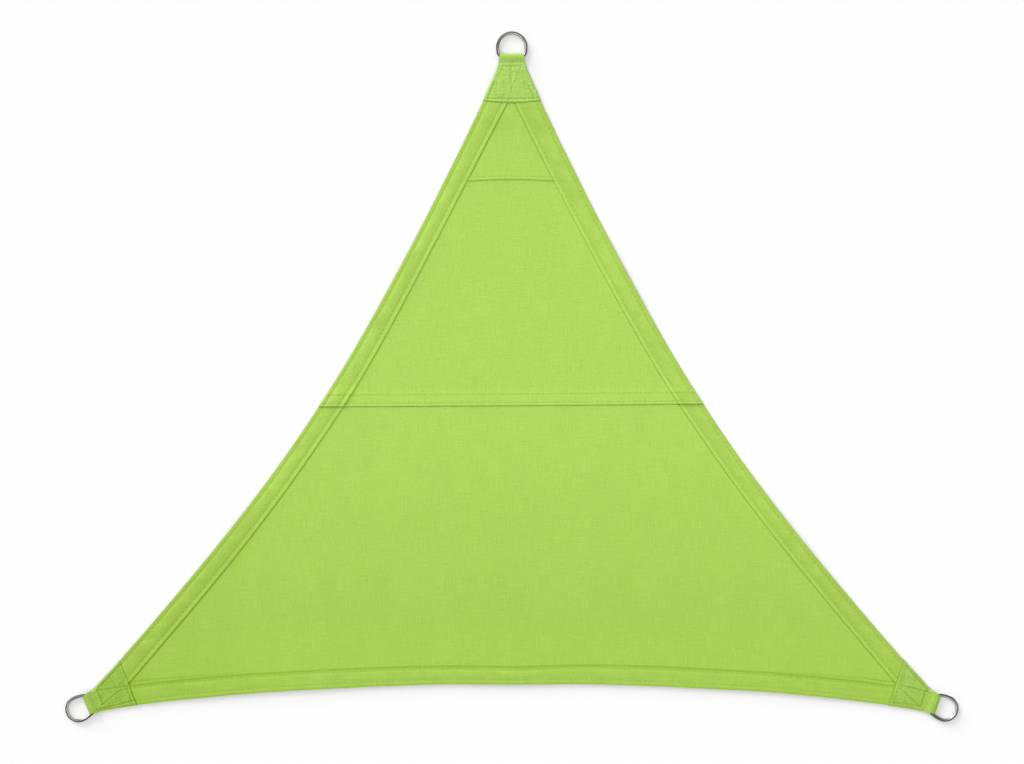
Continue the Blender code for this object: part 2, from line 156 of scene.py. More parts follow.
@dataclass(frozen=True)
class SailOutline:
    """The sail's edges, hem lines and seam, seen from above."""

    side_heights: tuple[float, ...] = (0.720, 0.432, 0.144, -0.144, -0.432, -0.720)
    side_half_widths: tuple[float, ...] = (0.0262, 0.1652, 0.3170, 0.4950, 0.7135, 0.9587)
    base_reaches: tuple[float, ...] = (0.0, 0.50, 0.90)
    base_heights: tuple[float, ...] = (-0.7085, -0.7225, -0.7617)
    hem_heights: tuple[float, ...] = (
        -0.76, -0.66, -0.50, -0.30, -0.15, 0.0, 0.12, 0.27, 0.42, 0.55, 0.62, 0.74,
    )
    left_hem: tuple[float, ...] = (
        0.0495, 0.0490, 0.0478, 0.0464, 0.0460, 0.0480, 0.0460, 0.0448, 0.0455, 0.0480, 0.0508,
        0.0530,
    )
    right_hem: tuple[float, ...] = (
        0.0480, 0.0465, 0.0440, 0.0431, 0.0440, 0.0472, 0.0472, 0.0486, 0.0505, 0.0525, 0.0530,
        0.0540,
    )
    base_spots: tuple[float, ...] = (
        -0.84, -0.70, -0.56, -0.49, -0.35, -0.21, -0.14, -0.07, 0.0, 0.07, 0.14, 0.21, 0.35,
        0.42, 0.49, 0.58, 0.70, 0.84,
    )
    base_waver: tuple[float, ...] = (
        0.0, -0.0008, -0.0004, -0.0012, -0.0007, 0.0006, 0.0009, -0.0006, -0.0016, -0.0003,
        0.0011, 0.0016, 0.0010, 0.0005, 0.0008, 0.0021, 0.0013, 0.0004,
    )
    base_hem: tuple[float, ...] = (
        0.0470, 0.0461, 0.0448, 0.0449, 0.0442, 0.0435, 0.0426, 0.0427, 0.0417, 0.0425,
        0.0439, 0.0450, 0.0466, 0.0460, 0.0455, 0.0453, 0.0456, 0.0468,
    )
    seam_ends: tuple[float, float] = (-0.0690, -0.0626)
    seam_half_span: float = 0.442
    seam_sag: float = 0.0009
    seam_rows: tuple[float, float] = (0.0060, 0.0250)
    lap: float = 0.028
    patch_middle: float = 0.4546
    patch_bow: float = 0.0034
    patch_half: float = 0.0963
    patch_tip: float = 0.6370
    patch_row: float = 0.0070
    hems_meet_half: float = 0.0030
    edge_foot: float = -0.80
    edge_top: float = 0.76
    edge_steps: int = 400

    @cached_property
    def side_curve(self) -> Array:
        """Coefficients of the half width over the height."""
        return np.polyfit(self.side_heights, self.side_half_widths, len(self.side_heights) - 1)

    @cached_property
    def base_curve(self) -> Array:
        """Coefficients of the base edge over the square of X."""
        return np.polyfit(np.square(self.base_reaches), self.base_heights, 2)

    def half_width(self, y: Array) -> Array:
        """Half the sail's width at height y."""
        return np.polyval(self.side_curve, y)

    def stretch(self, y: Array) -> Array:
        """How much longer a way along X is than the same way square to the side edge."""
        return np.hypot(1.0, np.polyval(np.polyder(self.side_curve), y))

    def side_hem_width(self, y: Array, side: Side) -> Array:
        """Width of a side hem, square to the edge.

        Args:
            y: Places up the sail.
            side: Which edge's hem it is.

        Returns:
            The width at each place.
        """
        widths = self.left_hem if side is Side.LEFT else self.right_hem
        room = (self.half_width(y) - self.hems_meet_half) / self.stretch(y)
        return np.minimum(flowing(y, self.hem_heights, widths), room)

    def from_side(self, x: Array, y: Array, side: Side) -> Array:
        """How far in from a side edge a point lies."""
        return (self.half_width(y) - side.value * x) / self.stretch(y)

    def side_length(self, y: Array) -> Array:
        """Length along a side edge from its foot to height y.

        Args:
            y: Places up the sail.

        Returns:
            The length to each place.
        """
        heights = np.linspace(self.edge_foot, self.edge_top, self.edge_steps)
        steps = self.stretch((heights[1:] + heights[:-1]) / 2) * np.diff(heights)
        return np.interp(y, heights, np.concatenate([[0.0], np.cumsum(steps)]))

    def base(self, x: Array) -> Array:
        """Height of the base edge."""
        waver = flowing(x, self.base_spots, self.base_waver)
        return np.polyval(self.base_curve, np.square(x)) + waver

    def base_hem_width(self, x: Array) -> Array:
        """Width of the base hem."""
        return flowing(x, self.base_spots, self.base_hem)

    def seam_gap(self, x: Array, y: Array) -> Array:
        """Distance from the nearer sewn row of the cross seam."""
        near, far = (np.abs(y - self.seam(x) - row) for row in self.seam_rows)
        return np.minimum(near, far)

    def seam(self, x: Array) -> Array:
        """Height of the cross seam.

        Args:
            x: Places across the sail.

        Returns:
            The height at each place.
        """
        reach = x / self.seam_half_span
        level = mix(self.seam_ends[0], self.seam_ends[1], 0.5 + 0.5 * reach)
        return level - self.seam_sag * (1 - reach**2)

    def patch_edge(self, x: Array) -> Array:
        """Height of the patch's lower edge."""
        return self.patch_middle - self.patch_bow * (x / self.patch_half) ** 2


@dataclass(frozen=True)
class CornerPlace:
    """Where a corner's strip and ring lie, their sizes, the strip's tone and its painted light
    and shade.

    The reaches are how far the strip goes to its left and right, at distances behind its zero.
    """

    name: str
    x: float
    y: float
    strip_angle: float
    strip_length: float
    strip_bow: float
    flare: float
    bar_behind: float
    bar_across: float
    ring_angle: float
    ring_width: float
    ring_height: float
    ring_bend: float
    tone: float
    # Strength of the painted highlight and shadow at the strip's end, on each side, and the
    # painted light on the fold beside the ring.
    end_strength: tuple[float, float]
    fold_tone: float
    reaches: tuple[tuple[float, float, float], ...]

    def point(self, out: Array, across: Array) -> tuple[Array, Array]:
        """The places out along the strip and across it.

        Args:
            out: Distances out from the strip's zero.
            across: Distances to its left.

        Returns:
            X and Y of the places.
        """
        turn = math.radians(self.strip_angle)
        x = self.x + out * math.cos(turn) - across * math.sin(turn)
        y = self.y + out * math.sin(turn) + across * math.cos(turn)
        return x, y

    def behind(self, x: Array, y: Array) -> Array:
        """How far behind the strip's zero a place lies."""
        turn = math.radians(self.strip_angle)
        return -((x - self.x) * math.cos(turn) + (y - self.y) * math.sin(turn))


TOP = CornerPlace(
    name="top", x=0.0, y=0.7375,
    strip_angle=90.0, strip_length=0.1020, strip_bow=0.0045, flare=0.0012,
    bar_behind=0.0, bar_across=0.0,
    ring_angle=90.0, ring_width=0.0725, ring_height=0.0545, ring_bend=0.0110,
    tone=0.98, end_strength=(0.80, 0.95), fold_tone=1.03,
    reaches=(
        (-0.0069, 0.0267, 0.0267), (0.000, 0.0289, 0.0289), (0.010, 0.0293, 0.0293),
        (0.018, 0.0311, 0.0311), (0.030, 0.0351, 0.0351), (0.050, 0.0438, 0.0438),
        (0.080, 0.0574, 0.0574), (0.110, 0.0700, 0.0700),
    ),
)
LEFT = CornerPlace(
    name="left", x=-0.9742, y=-0.7549,
    strip_angle=201.5, strip_length=0.1020, strip_bow=0.0, flare=0.0,
    bar_behind=0.0015, bar_across=-0.0006,
    ring_angle=206.5, ring_width=0.0612, ring_height=0.0564, ring_bend=0.0085,
    tone=0.905, end_strength=(0.25, 1.15), fold_tone=1.07,
    reaches=(
        (-0.0081, 0.0203, 0.0186), (0.000, 0.0237, 0.0244), (0.010, 0.0250, 0.0260),
        (0.018, 0.0254, 0.0278), (0.030, 0.0270, 0.0320), (0.050, 0.0309, 0.0423),
        (0.080, 0.0375, 0.0559), (0.110, 0.0445, 0.0718),
    ),
)
RIGHT = CornerPlace(
    name="right", x=0.9768, y=-0.7547,
    strip_angle=-18.5, strip_length=0.1020, strip_bow=0.0, flare=0.0,
    bar_behind=0.0034, bar_across=-0.0007,
    ring_angle=-23.5, ring_width=0.0612, ring_height=0.0554, ring_bend=0.0085,
    tone=0.955, end_strength=(1.0, 1.0), fold_tone=0.985,
    reaches=(
        (-0.0064, 0.0168, 0.0200), (0.000, 0.0236, 0.0234), (0.010, 0.0258, 0.0239),
        (0.018, 0.0279, 0.0244), (0.030, 0.0326, 0.0255), (0.050, 0.0448, 0.0287),
        (0.080, 0.0606, 0.0336), (0.110, 0.0784, 0.0392),
    ),
)
CORNERS = (TOP, LEFT, RIGHT)


@dataclass(frozen=True)
class Swell:
    """A soft rise in an edge, highest at its middle and gone at a depth in from the edge."""

    edge: str
    middle: float
    half_length: float
    height: float
    depth: float


@dataclass(frozen=True)
class GroundLie:
    """How far the sail's underside stands off the ground."""

    outline: SailOutline = SailOutline()
    corner_rise: float = 0.0017
    rise_past: float = 0.028
    rise_ramp: float = 0.045
    corner_cut: float = 0.016
    swells: tuple[Swell, ...] = (
        Swell("base", -0.705, 0.235, 0.0046, 0.15),
        Swell("base", -0.470, 0.235, 0.0052, 0.16),
        Swell("base", -0.235, 0.235, 0.0043, 0.14),
        Swell("base", 0.0, 0.235, 0.0046, 0.14),
        Swell("base", 0.235, 0.235, 0.0041, 0.13),
        Swell("base", 0.470, 0.235, 0.0047, 0.15),
        Swell("base", 0.705, 0.235, 0.0050, 0.16),
        Swell("left", 0.22, 0.18, 0.0025, 0.09),
        Swell("left", -0.37, 0.21, 0.0030, 0.09),
        Swell("right", 0.22, 0.18, 0.0040, 0.10),
        Swell("right", -0.38, 0.23, 0.0050, 0.10),
    )
    ripple: float = 0.0005
    broad_share: float = 0.8
    narrow_share: float = 0.35

    def height(self, x: Array, y: Array) -> Array:
        """Height of the cloth's underside where only the ground and the strips are below."""
        return self.strip_rise(x, y) + self.swell(x, y) + self.ripples(x, y)

    def strip_rise(self, x: Array, y: Array) -> Array:
        """How far the strips' lower layers lift the sail.

        Args:
            x: Places across the sail.
            y: Places up the sail.

        Returns:
            The lift at each place.
        """
        rise = np.zeros_like(x)
        for corner in CORNERS:
            past = corner.behind(x, y) - corner.strip_length - corner.strip_bow
            share = smooth((past - self.rise_past) / self.rise_ramp)
            rise = np.maximum(rise, self.corner_rise * (1 - share))
        return rise

    def swell(self, x: Array, y: Array) -> Array:
        """How far the swells in the edges lift the cloth.

        Args:
            x: Places across the sail.
            y: Places up the sail.

        Returns:
            The lift at each place.
        """
        lift = np.zeros_like(x)
        for swell in self.swells:
            if swell.edge == "base":
                along, inward = x, y - self.outline.base(x)
            else:
                side = Side[swell.edge.upper()]
                along, inward = y, self.outline.half_width(y) - side.value * x
            reach = np.minimum(np.abs(along - swell.middle) / swell.half_length, 1.0)
            crest = np.cos(math.pi / 2 * reach) ** 2
            lift = lift + swell.height * crest * (1 - smooth(inward / swell.depth))
        return lift

    def ripples(self, x: Array, y: Array) -> Array:
        """Soft upright ripples of a cloth that was packed flat.

        Args:
            x: Places across the sail.
            y: Places up the sail.

        Returns:
            The ripples' height.
        """
        broad = self.broad_share * BROAD_RIPPLE.at(x, y)
        narrow = self.narrow_share * NARROW_RIPPLE.at(x, y)
        return self.ripple * (1 + np.clip(broad + narrow, -1, 1)) * 0.5

    def cut_reach(self, y: Array, corner: CornerPlace) -> Array:
        """How far from the middle a base corner's blunt cut lies at height y."""
        cut_x, cut_y = corner.point(-self.corner_cut, 0.0)
        return np.abs(cut_x - (y - cut_y) * math.tan(math.radians(corner.strip_angle)))


@dataclass(frozen=True)
class HemStation:
    """A line along a hem: its place is share of the hem's width plus offset, in from the edge."""

    share: float
    offset: float
    lift: float
    layer: Layer
    puff: float = 0.0


FOLDED_HEM = (
    HemStation(1, -0.0060, LAYER, Layer.TUCK),
    HemStation(1, -0.0005, LAYER, Layer.TUCK),
    HemStation(1, 0.00023, LAYER * 1.15, Layer.TUCK),
    HemStation(1, 0.00033, LAYER * 1.5, Layer.TUCK),
    HemStation(1, 0.00023, LAYER * 1.85, Layer.TOP),
    HemStation(1, -0.0003, 0.00136, Layer.TOP),
    HemStation(1, -0.0015, 0.00155, Layer.TOP, 0.0001),
    HemStation(1, -0.0032, 0.00160, Layer.TOP, 0.0002),
    HemStation(1, -0.0050, 0.00152, Layer.TOP, 0.0001),
    HemStation(1, -0.0070, 0.00138, Layer.TOP),
    HemStation(1, -0.0090, 0.00122, Layer.TOP),
    HemStation(1, -0.0110, 0.00138, Layer.TOP),
    HemStation(1, -0.0145, 0.00162, Layer.TOP, 0.0003),
    HemStation(1, -0.0190, 0.00178, Layer.TOP, 0.0006),
    HemStation(0.50, 0.0, 0.00182, Layer.TOP, 0.0008),
    HemStation(0.38, 0.0, 0.00182, Layer.TOP, 0.0008),
    HemStation(0, 0.0148, 0.00170, Layer.TOP, 0.0005),
    HemStation(0, 0.0124, 0.00150, Layer.TOP, 0.0003),
    HemStation(0, 0.0108, 0.00130, Layer.TOP, 0.0001),
    HemStation(0, 0.0092, 0.00118, Layer.TOP),
    HemStation(0, 0.0076, 0.00132, Layer.TOP, 0.0001),
    HemStation(0, 0.0055, 0.00146, Layer.TOP, 0.0002),
    HemStation(0, 0.0033, 0.00148, Layer.TOP, 0.0002),
    HemStation(0, 0.0016, 0.00140, Layer.TOP, 0.0001),
    HemStation(0, 0.00065, 0.00130, Layer.TOP),
    HemStation(0, 0.00019, 0.00111, Layer.TURN),
    HemStation(0, 0.0, 0.00065, Layer.TURN),
    HemStation(0, 0.00019, 0.00019, Layer.TURN),
    HemStation(0, 0.00065, 0.0, Layer.UNDER),
    HemStation(0, 0.0060, 0.0, Layer.UNDER),
    HemStation(0.5, 0.0, 0.0, Layer.UNDER),
    HemStation(1, -0.0070, 0.0, Layer.UNDER),
    HemStation(1, -0.0003, 0.0, Layer.UNDER),
    HemStation(1, 0.0009, 0.0, Layer.OPEN),
    HemStation(1, 0.0021, 0.0, Layer.OPEN),
    HemStation(1, 0.0033, 0.0, Layer.OPEN),
    HemStation(1, 0.0050, 0.0, Layer.OPEN),
    HemStation(1, 0.0068, 0.0, Layer.OPEN),
    HemStation(1, 0.0090, 0.0, Layer.OPEN),
    HemStation(1, 0.0160, 0.0, Layer.OPEN),
)


@dataclass(frozen=True)
class Hem:
    """How a hem is folded and sewn, from the tucked-in end of its cloth to the open panel."""

    # painted light and shade at each station: painted shade beside the lip, in the folds and at
    # the sewn rows, and painted highlights on the ridges
    tones: tuple[float, ...]
    outer_row: float = 0.0092
    inner_row: float = 0.0090
    stations: tuple[HemStation, ...] = FOLDED_HEM
    usual_width: float = 0.0480
    full_width: float = 0.0400
    beyond_edge: float = 0.002

    def row_gap(self, inward: Array, width: Array) -> Array:
        """How far a place on the hem is from its nearer sewn row.

        Args:
            inward: Distances in from the sail's edge.
            width: The hem's width there.

        Returns:
            The distance of each place from the row.
        """
        outer = np.abs(inward - self.outer_row)
        inner = np.abs(inward - (width - self.inner_row))
        return np.minimum(outer, inner)

    def lift(self, inward: Array, width: Array) -> Array:
        """How far the hem's upper layer lies above the panel, and 0 beside the hem.

        Args:
            inward: Distances in from the sail's edge.
            width: The hem's width there.

        Returns:
            The height of each place.
        """
        top = [s for s in self.stations if s.layer is Layer.TOP]
        spots = np.array([s.share * self.usual_width + s.offset for s in top])
        heights = np.array([s.lift for s in top])
        from_lip = self.usual_width - (width - inward)
        spot = np.where(inward < width / 2, inward, from_lip)
        on_hem = np.interp(spot, spots[::-1], heights[::-1])
        return np.where((inward > -self.beyond_edge) & (inward < width), on_hem, 0.0)

    def squeeze(self, width: Array) -> Array:
        """How much the hem's lines draw together where the hem is narrow."""
        return np.minimum(1.0, width / self.full_width)


SIDE_HEM = Hem((
    0.80, 0.74, 0.72, 0.84, 1.02, 1.05, 1.05, 1.04, 1.01, 0.965, 0.935, 0.930, 0.940, 0.955,
    0.975, 0.990, 1.000, 0.990, 0.970, 0.940, 0.940, 0.945, 0.940, 0.935, 0.930, 0.91, 0.91,
    0.91, 0.92, 1.0, 1.0, 0.90, 0.74, 0.72, 0.74, 0.86, 1.01, 1.01, 1.0, 1.0,
))
BASE_HEM = Hem((
    0.80, 0.78, 0.76, 0.86, 0.92, 0.80, 0.74, 0.79, 0.97, 1.01, 1.01, 1.01, 0.995, 0.99,
    0.995, 1.0, 1.02, 1.045, 1.045, 1.015, 0.985, 0.98, 0.98, 0.98, 0.97, 0.95, 0.95,
    0.95, 0.96, 1.0, 1.0, 0.93, 0.84, 0.95, 1.02, 1.0, 0.995, 0.995, 0.995, 1.0,
))


# -------------------------------------------------------------------------------- meshes


@dataclass
class Grid:
    """A cloth as rows and columns of places, with what its finish needs to know."""

    x: Array
    y: Array
    z: Array
    u: Array
    v: Array
    shade: Array
    row_gap: Array
    row_along: Array
    cut_away: Array = field(default_factory=lambda: np.zeros((0, 0), bool))

    def mesh_object(self, name: str, thickness: float, finish: "Finish") -> bpy.types.Object:
        """Makes the cloth's object.

        Args:
            name: The piece's name.
            thickness: Thickness of the cloth.
            finish: What the cloth looks like.

        Returns:
            The object, with its thickness as a modifier.
        """
        rows, columns = self.x.shape
        bm = bmesh.new()
        bmesh.ops.create_grid(bm, x_segments=columns - 1, y_segments=rows - 1, size=0.5)
        layers = {
            SHADE: self.shade,
            ROW_GAP: np.minimum(self.row_gap, FAR),
            ROW_ALONG: self.row_along,
        }
        stores = {key: bm.verts.layers.float.new(key) for key in layers}
        weave = bm.loops.layers.uv.new(WEAVE)
        away = []
        for vert in bm.verts:
            column = round((vert.co.x + 0.5) * (columns - 1))
            row = round((vert.co.y + 0.5) * (rows - 1))
            place = (row, column)
            vert.co = Vector((self.x[place], self.y[place], self.z[place]))
            for key, values in layers.items():
                vert[stores[key]] = float(values[place])
            for loop in vert.link_loops:
                loop[weave].uv = (self.u[place], self.v[place])
            if self.cut_away.size and self.cut_away[place]:
                away.append(vert)
        bmesh.ops.delete(bm, geom=away, context="VERTS")
        made = finished_object(name, bm, finish)
        thicken = made.modifiers.new("cloth thickness", "SOLIDIFY")
        thicken.thickness = thickness
        thicken.offset = 0.0
        return made


def finished_object(name: str, bm: bmesh.types.BMesh, finish: "Finish") -> bpy.types.Object:
    """Makes an object of a bmesh, smooth and with its finish, and frees the bmesh.

    Args:
        name: The piece's name.
        bm: Its shape.
        finish: What it looks like.

    Returns:
        The object, linked to the scene.
    """
    mesh = bpy.data.meshes.new(name)
    bm.to_mesh(mesh)
    bm.free()
    mesh.shade_smooth()
    mesh.materials.append(finish.material())
    made = bpy.data.objects.new(name, mesh)
    bpy.context.scene.collection.objects.link(made)
    return made


# ------------------------------------------------------------------------------ finishes


class Value:
    """A shader socket that takes part in sums."""

    def __init__(self, graph: "Graph", socket: bpy.types.NodeSocket) -> None:
        """Wraps a socket of a graph."""
        self.graph = graph
        self.socket = socket

    def combined(self, operation: str, *terms: "Value | float") -> "Value":
        """A Math node on these terms."""
        inputs = {index: term for index, term in enumerate(terms)}
        return self.graph.node("ShaderNodeMath", {"operation": operation}, inputs)

    def __add__(self, other: "Value | float") -> "Value":
        """Sum."""
        return self.combined("ADD", self, other)

    __radd__ = __add__

    def __sub__(self, other: "Value | float") -> "Value":
        """Difference."""
        return self.combined("SUBTRACT", self, other)

    def __rsub__(self, other: float) -> "Value":
        """Difference from a number."""
        return self.combined("SUBTRACT", other, self)

    def __mul__(self, other: "Value | float") -> "Value":
        """Product."""
        return self.combined("MULTIPLY", self, other)

    __rmul__ = __mul__

    def __truediv__(self, other: "Value | float") -> "Value":
        """Quotient."""
        return self.combined("DIVIDE", self, other)

    def __abs__(self) -> "Value":
        """Size without its sign."""
        return self.combined("ABSOLUTE", self)

    def __mod__(self, other: float) -> "Value":
        """Rest from 0 up to the other number."""
        return self.combined("FLOORED_MODULO", self, other)

    def sine(self) -> "Value":
        """Sine."""
        return self.combined("SINE", self)

    def root(self) -> "Value":
        """Square root."""
        return self.combined("SQRT", self)

    def ranged(self, low: float, high: float, to_low: float, to_high: float) -> "Value":
        """This value, eased from one range to another and held at its ends.

        Args:
            low: Where the first range starts.
            high: Where it ends.
            to_low: The new value at its start.
            to_high: The new value at its end.

        Returns:
            The new value.
        """
        inputs = {
            "Value": self, "From Min": low, "From Max": high, "To Min": to_low, "To Max": to_high
        }
        settings = {"interpolation_type": "SMOOTHSTEP"}
        return self.graph.node("ShaderNodeMapRange", settings, inputs)


class Graph:
    """Makes a material's nodes."""

    def __init__(self, tree: bpy.types.NodeTree) -> None:
        """Starts from an empty tree."""
        self.tree = tree
        tree.nodes.clear()

    def node(
        self,
        kind: str,
        settings: dict[str, object] | None = None,
        inputs: dict[str | int, object] | None = None,
        output: str | int = 0,
    ) -> Value | None:
        """Adds a node.

        Args:
            kind: The node's type.
            settings: Its settings, set before its sockets. "stops" are a ramp's stops.
            inputs: Values or links of its sockets.
            output: Which of its outputs is wanted.

        Returns:
            The wanted output, or None for a node without outputs.
        """
        made = self.tree.nodes.new(kind)
        for key, value in (settings or {}).items():
            if key == "stops":
                self.set_stops(made.color_ramp, value)
            else:
                setattr(made, key, value)
        for key, value in (inputs or {}).items():
            if isinstance(value, Value):
                self.tree.links.new(value.socket, made.inputs[key])
            else:
                made.inputs[key].default_value = value
        return Value(self, made.outputs[output]) if len(made.outputs) else None

    @staticmethod
    def set_stops(ramp: bpy.types.ColorRamp, stops: tuple[tuple[float, float], ...]) -> None:
        """Gives a ramp its grey stops.

        Args:
            ramp: The ramp, which starts with two stops.
            stops: Place and grey of each stop.
        """
        for index, (place, grey) in enumerate(stops):
            element = ramp.elements[index] if index < 2 else ramp.elements.new(place)
            element.position = place
            element.color = (grey, grey, grey, 1.0)

    def noise(
        self, vector: Value, per_metre: tuple[float, float, float], detail: float = 2.0
    ) -> Value:
        """A noise from 0 to 1.

        Args:
            vector: Where it is read.
            per_metre: How many swells it has in a metre along each axis.
            detail: How much finer noise is added.

        Returns:
            The noise.
        """
        stretch = {"operation": "MULTIPLY"}
        scaled = self.node("ShaderNodeVectorMath", stretch, {0: vector, 1: per_metre})
        inputs = {"Vector": scaled, "Scale": 1.0, "Detail": detail}
        return self.node("ShaderNodeTexNoise", {}, inputs, "Fac")

    def bump(self, height: Value, strength: float, distance: float) -> Value:
        """A bump of the given height."""
        inputs = {"Strength": strength, "Distance": distance, "Height": height}
        return self.node("ShaderNodeBump", {}, inputs)

    def attribute(self, name: str) -> Value:
        """A number kept on the mesh."""
        return self.node("ShaderNodeAttribute", {"attribute_name": name}, output="Fac")

    def tinted(self, color: tuple[float, float, float], strength: Value) -> Value:
        """A colour times a value."""
        inputs = {0: (*color,), "Scale": strength}
        return self.node("ShaderNodeVectorMath", {"operation": "SCALE"}, inputs)

    def deepened(self, dye: tuple[float, float, float], strength: Value) -> Value:
        """A dyed cloth's colour under its painted light and shade, which grows deeper and less
        blue as it darkens, as shade between cloth faces does.

        Args:
            dye: The colour at full strength.
            strength: 1 for the dye itself, less for darker.

        Returns:
            The colour.
        """
        pull = (1.1, 1.0, 2.0)
        scaled = {"operation": "SCALE"}
        darker = self.node("ShaderNodeVectorMath", scaled, {0: pull, "Scale": strength - 1.0})
        share = self.node("ShaderNodeVectorMath", {"operation": "ADD"}, {0: darker, 1: (1, 1, 1)})
        inputs = {0: share, 1: dye}
        return self.node("ShaderNodeVectorMath", {"operation": "MULTIPLY"}, inputs)

    def surface(self, inputs: dict[str, object]) -> None:
        """Ends the graph in a Principled shader."""
        shader = self.node("ShaderNodeBsdfPrincipled", {}, inputs)
        self.node("ShaderNodeOutputMaterial", {}, {"Surface": shader})


class Finish:
    """What a piece's surface looks like."""

    name: str

    def material(self) -> bpy.types.Material:
        """The finish as a material, made once.

        Returns:
            The material.
        """
        found = bpy.data.materials.get(self.name)
        if found:
            return found
        made = bpy.data.materials.new(self.name)
        made.use_nodes = True
        self.dress(Graph(made.node_tree))
        return made

    def dress(self, graph: Graph) -> None:
        """Makes the finish's nodes."""
        raise NotImplementedError


@dataclass(frozen=True)
class WovenCloth(Finish):
    """Dyed plain-woven cloth with slubs, soft mottling and dimpled stitch rows, with painted
    shade in the dimples and along the rows, and the painted light and shade kept on the mesh.

    Pitches and edges are in metres, and slubs and mottle are swells in a metre.
    """

    name: str
    dye: tuple[float, float, float]
    thread_pitch: float = 0.0011
    stitch_pitch: float = 0.0124
    speckle: float = 0.36
    grain_per_metre: float = 300.0
    grain_detail: float = 3.0
    upright_slubs: tuple[float, float, float] = (400.0, 22.0, 1.0)
    level_slubs: tuple[float, float, float] = (22.0, 400.0, 1.0)
    mottle: tuple[float, float, float] = (16.0, 5.0, 1.0)
    mottle_low: float = 0.965
    mottle_rise: float = 0.07
    thread_low: float = 0.97
    thread_rise: float = 0.04
    hole_darkness: float = 0.08
    row_darkness: float = 0.02
    hole_edge: tuple[float, float] = (0.0004, 0.0028)
    row_edge: tuple[float, float] = (0.0005, 0.0028)
    left_span: tuple[float, float] = (-0.80, -0.50)
    left_tone: float = 0.955
    fall_foot: float = -0.76
    fall_top: float = 0.74
    fall_off: tuple[tuple[float, float], ...] = (
        (0.0, 0.845), (1.0, 0.960), (0.055, 0.880), (0.163, 0.912), (0.24, 0.940),
        (0.317, 0.960), (0.393, 0.980), (0.47, 0.992), (0.60, 1.0), (0.78, 1.0), (0.90, 0.972),
    )
    roughness: float = 0.88
    gloss: float = 0.25
    thread_relief: float = 0.10
    slub_relief: float = 0.12
    grain_relief: float = 0.20
    row_relief: float = 0.4
    bump_strength: float = 0.6
    bump_distance: float = 0.0006

    def dress(self, graph: Graph) -> None:
        """Makes the cloth's nodes.

        Args:
            graph: The material's graph.
        """
        weave = graph.node("ShaderNodeUVMap", {"uv_map": WEAVE})
        place = graph.node("ShaderNodeTexCoord", output="Object")
        threads = self.threads(self.parts(graph, weave))
        upright = graph.noise(weave, self.upright_slubs)
        level = graph.noise(weave, self.level_slubs)
        fine = self.grain_per_metre
        grain = graph.noise(weave, (fine, fine, 1.0), self.grain_detail)
        mottle = graph.noise(place, self.mottle, self.grain_detail)
        across, height = self.parts(graph, place)
        tone = self.tone(graph, height) * across.ranged(*self.left_span, self.left_tone, 1.0)
        dimple, row = self.sewn_rows(graph)
        slubs = 1.0 + self.speckle * 0.5 * (upright + level - 1.0)
        speckle = 1.0 + self.speckle * (grain - 0.5)
        clouds = self.mottle_low + self.mottle_rise * mottle
        woven = self.thread_low + self.thread_rise * threads
        # The shade attribute brings in the painted light and shade kept on the mesh.
        strength = tone * slubs * speckle * clouds * graph.attribute(SHADE) * woven
        # Painted shade in the stitch dimples and along the sewn rows.
        strength = strength * (1 - self.hole_darkness * dimple) * (1 - self.row_darkness * row)
        relief = threads * self.thread_relief + (upright + level) * self.slub_relief
        relief = relief + grain * self.grain_relief - dimple - row * self.row_relief
        graph.surface({
            "Base Color": graph.deepened(self.dye, strength),
            "Roughness": self.roughness,
            "Specular IOR Level": self.gloss,
            "Normal": graph.bump(relief, self.bump_strength, self.bump_distance),
        })

    @staticmethod
    def parts(graph: Graph, vector: Value) -> tuple[Value, Value]:
        """The first two parts of a vector."""
        node = graph.node("ShaderNodeSeparateXYZ", {}, {0: vector}).socket.node
        return Value(graph, node.outputs[0]), Value(graph, node.outputs[1])

    def threads(self, split: tuple[Value, Value]) -> Value:
        """Height of the plain weave, from 0 to 1.

        Args:
            split: The weave's two coordinates.

        Returns:
            The height.
        """
        turn = math.pi / self.thread_pitch
        u, v = (split[0] * turn).sine(), (split[1] * turn).sine()
        warp, weft = 1 - u * u, 1 - v * v
        return 0.5 * (warp + weft) + 0.5 * (warp - weft) * (u * v)

    def tone(self, graph: Graph, height: Value) -> Value:
        """How much darker the cloth is toward the base edge and the apex.

        Args:
            graph: The material's graph.
            height: The place up the sail.

        Returns:
            The tone, 1 at its fullest.
        """
        share = graph.node("ShaderNodeMapRange", {}, {
            "Value": height, "From Min": self.fall_foot, "From Max": self.fall_top,
            "To Min": 0.0, "To Max": 1.0,
        })
        ramp = graph.node("ShaderNodeValToRGB", {"stops": self.fall_off}, {0: share})
        return graph.node("ShaderNodeSeparateColor", {}, {0: ramp})

    def sewn_rows(self, graph: Graph) -> tuple[Value, Value]:
        """Where the stitches pull the cloth in, for the bump and for the painted shade there.

        Args:
            graph: The material's graph.

        Returns:
            How far the cloth is pulled in at the holes, and along the row.
        """
        gap = graph.attribute(ROW_GAP)
        along = graph.attribute(ROW_ALONG)
        to_hole = abs((along / self.stitch_pitch + 0.5) % 1.0 - 0.5) * self.stitch_pitch
        distance = (gap * gap + to_hole * to_hole).root()
        dimple = distance.ranged(*self.hole_edge, 1.0, 0.0)
        row = gap.ranged(*self.row_edge, 1.0, 0.0)
        return dimple, row


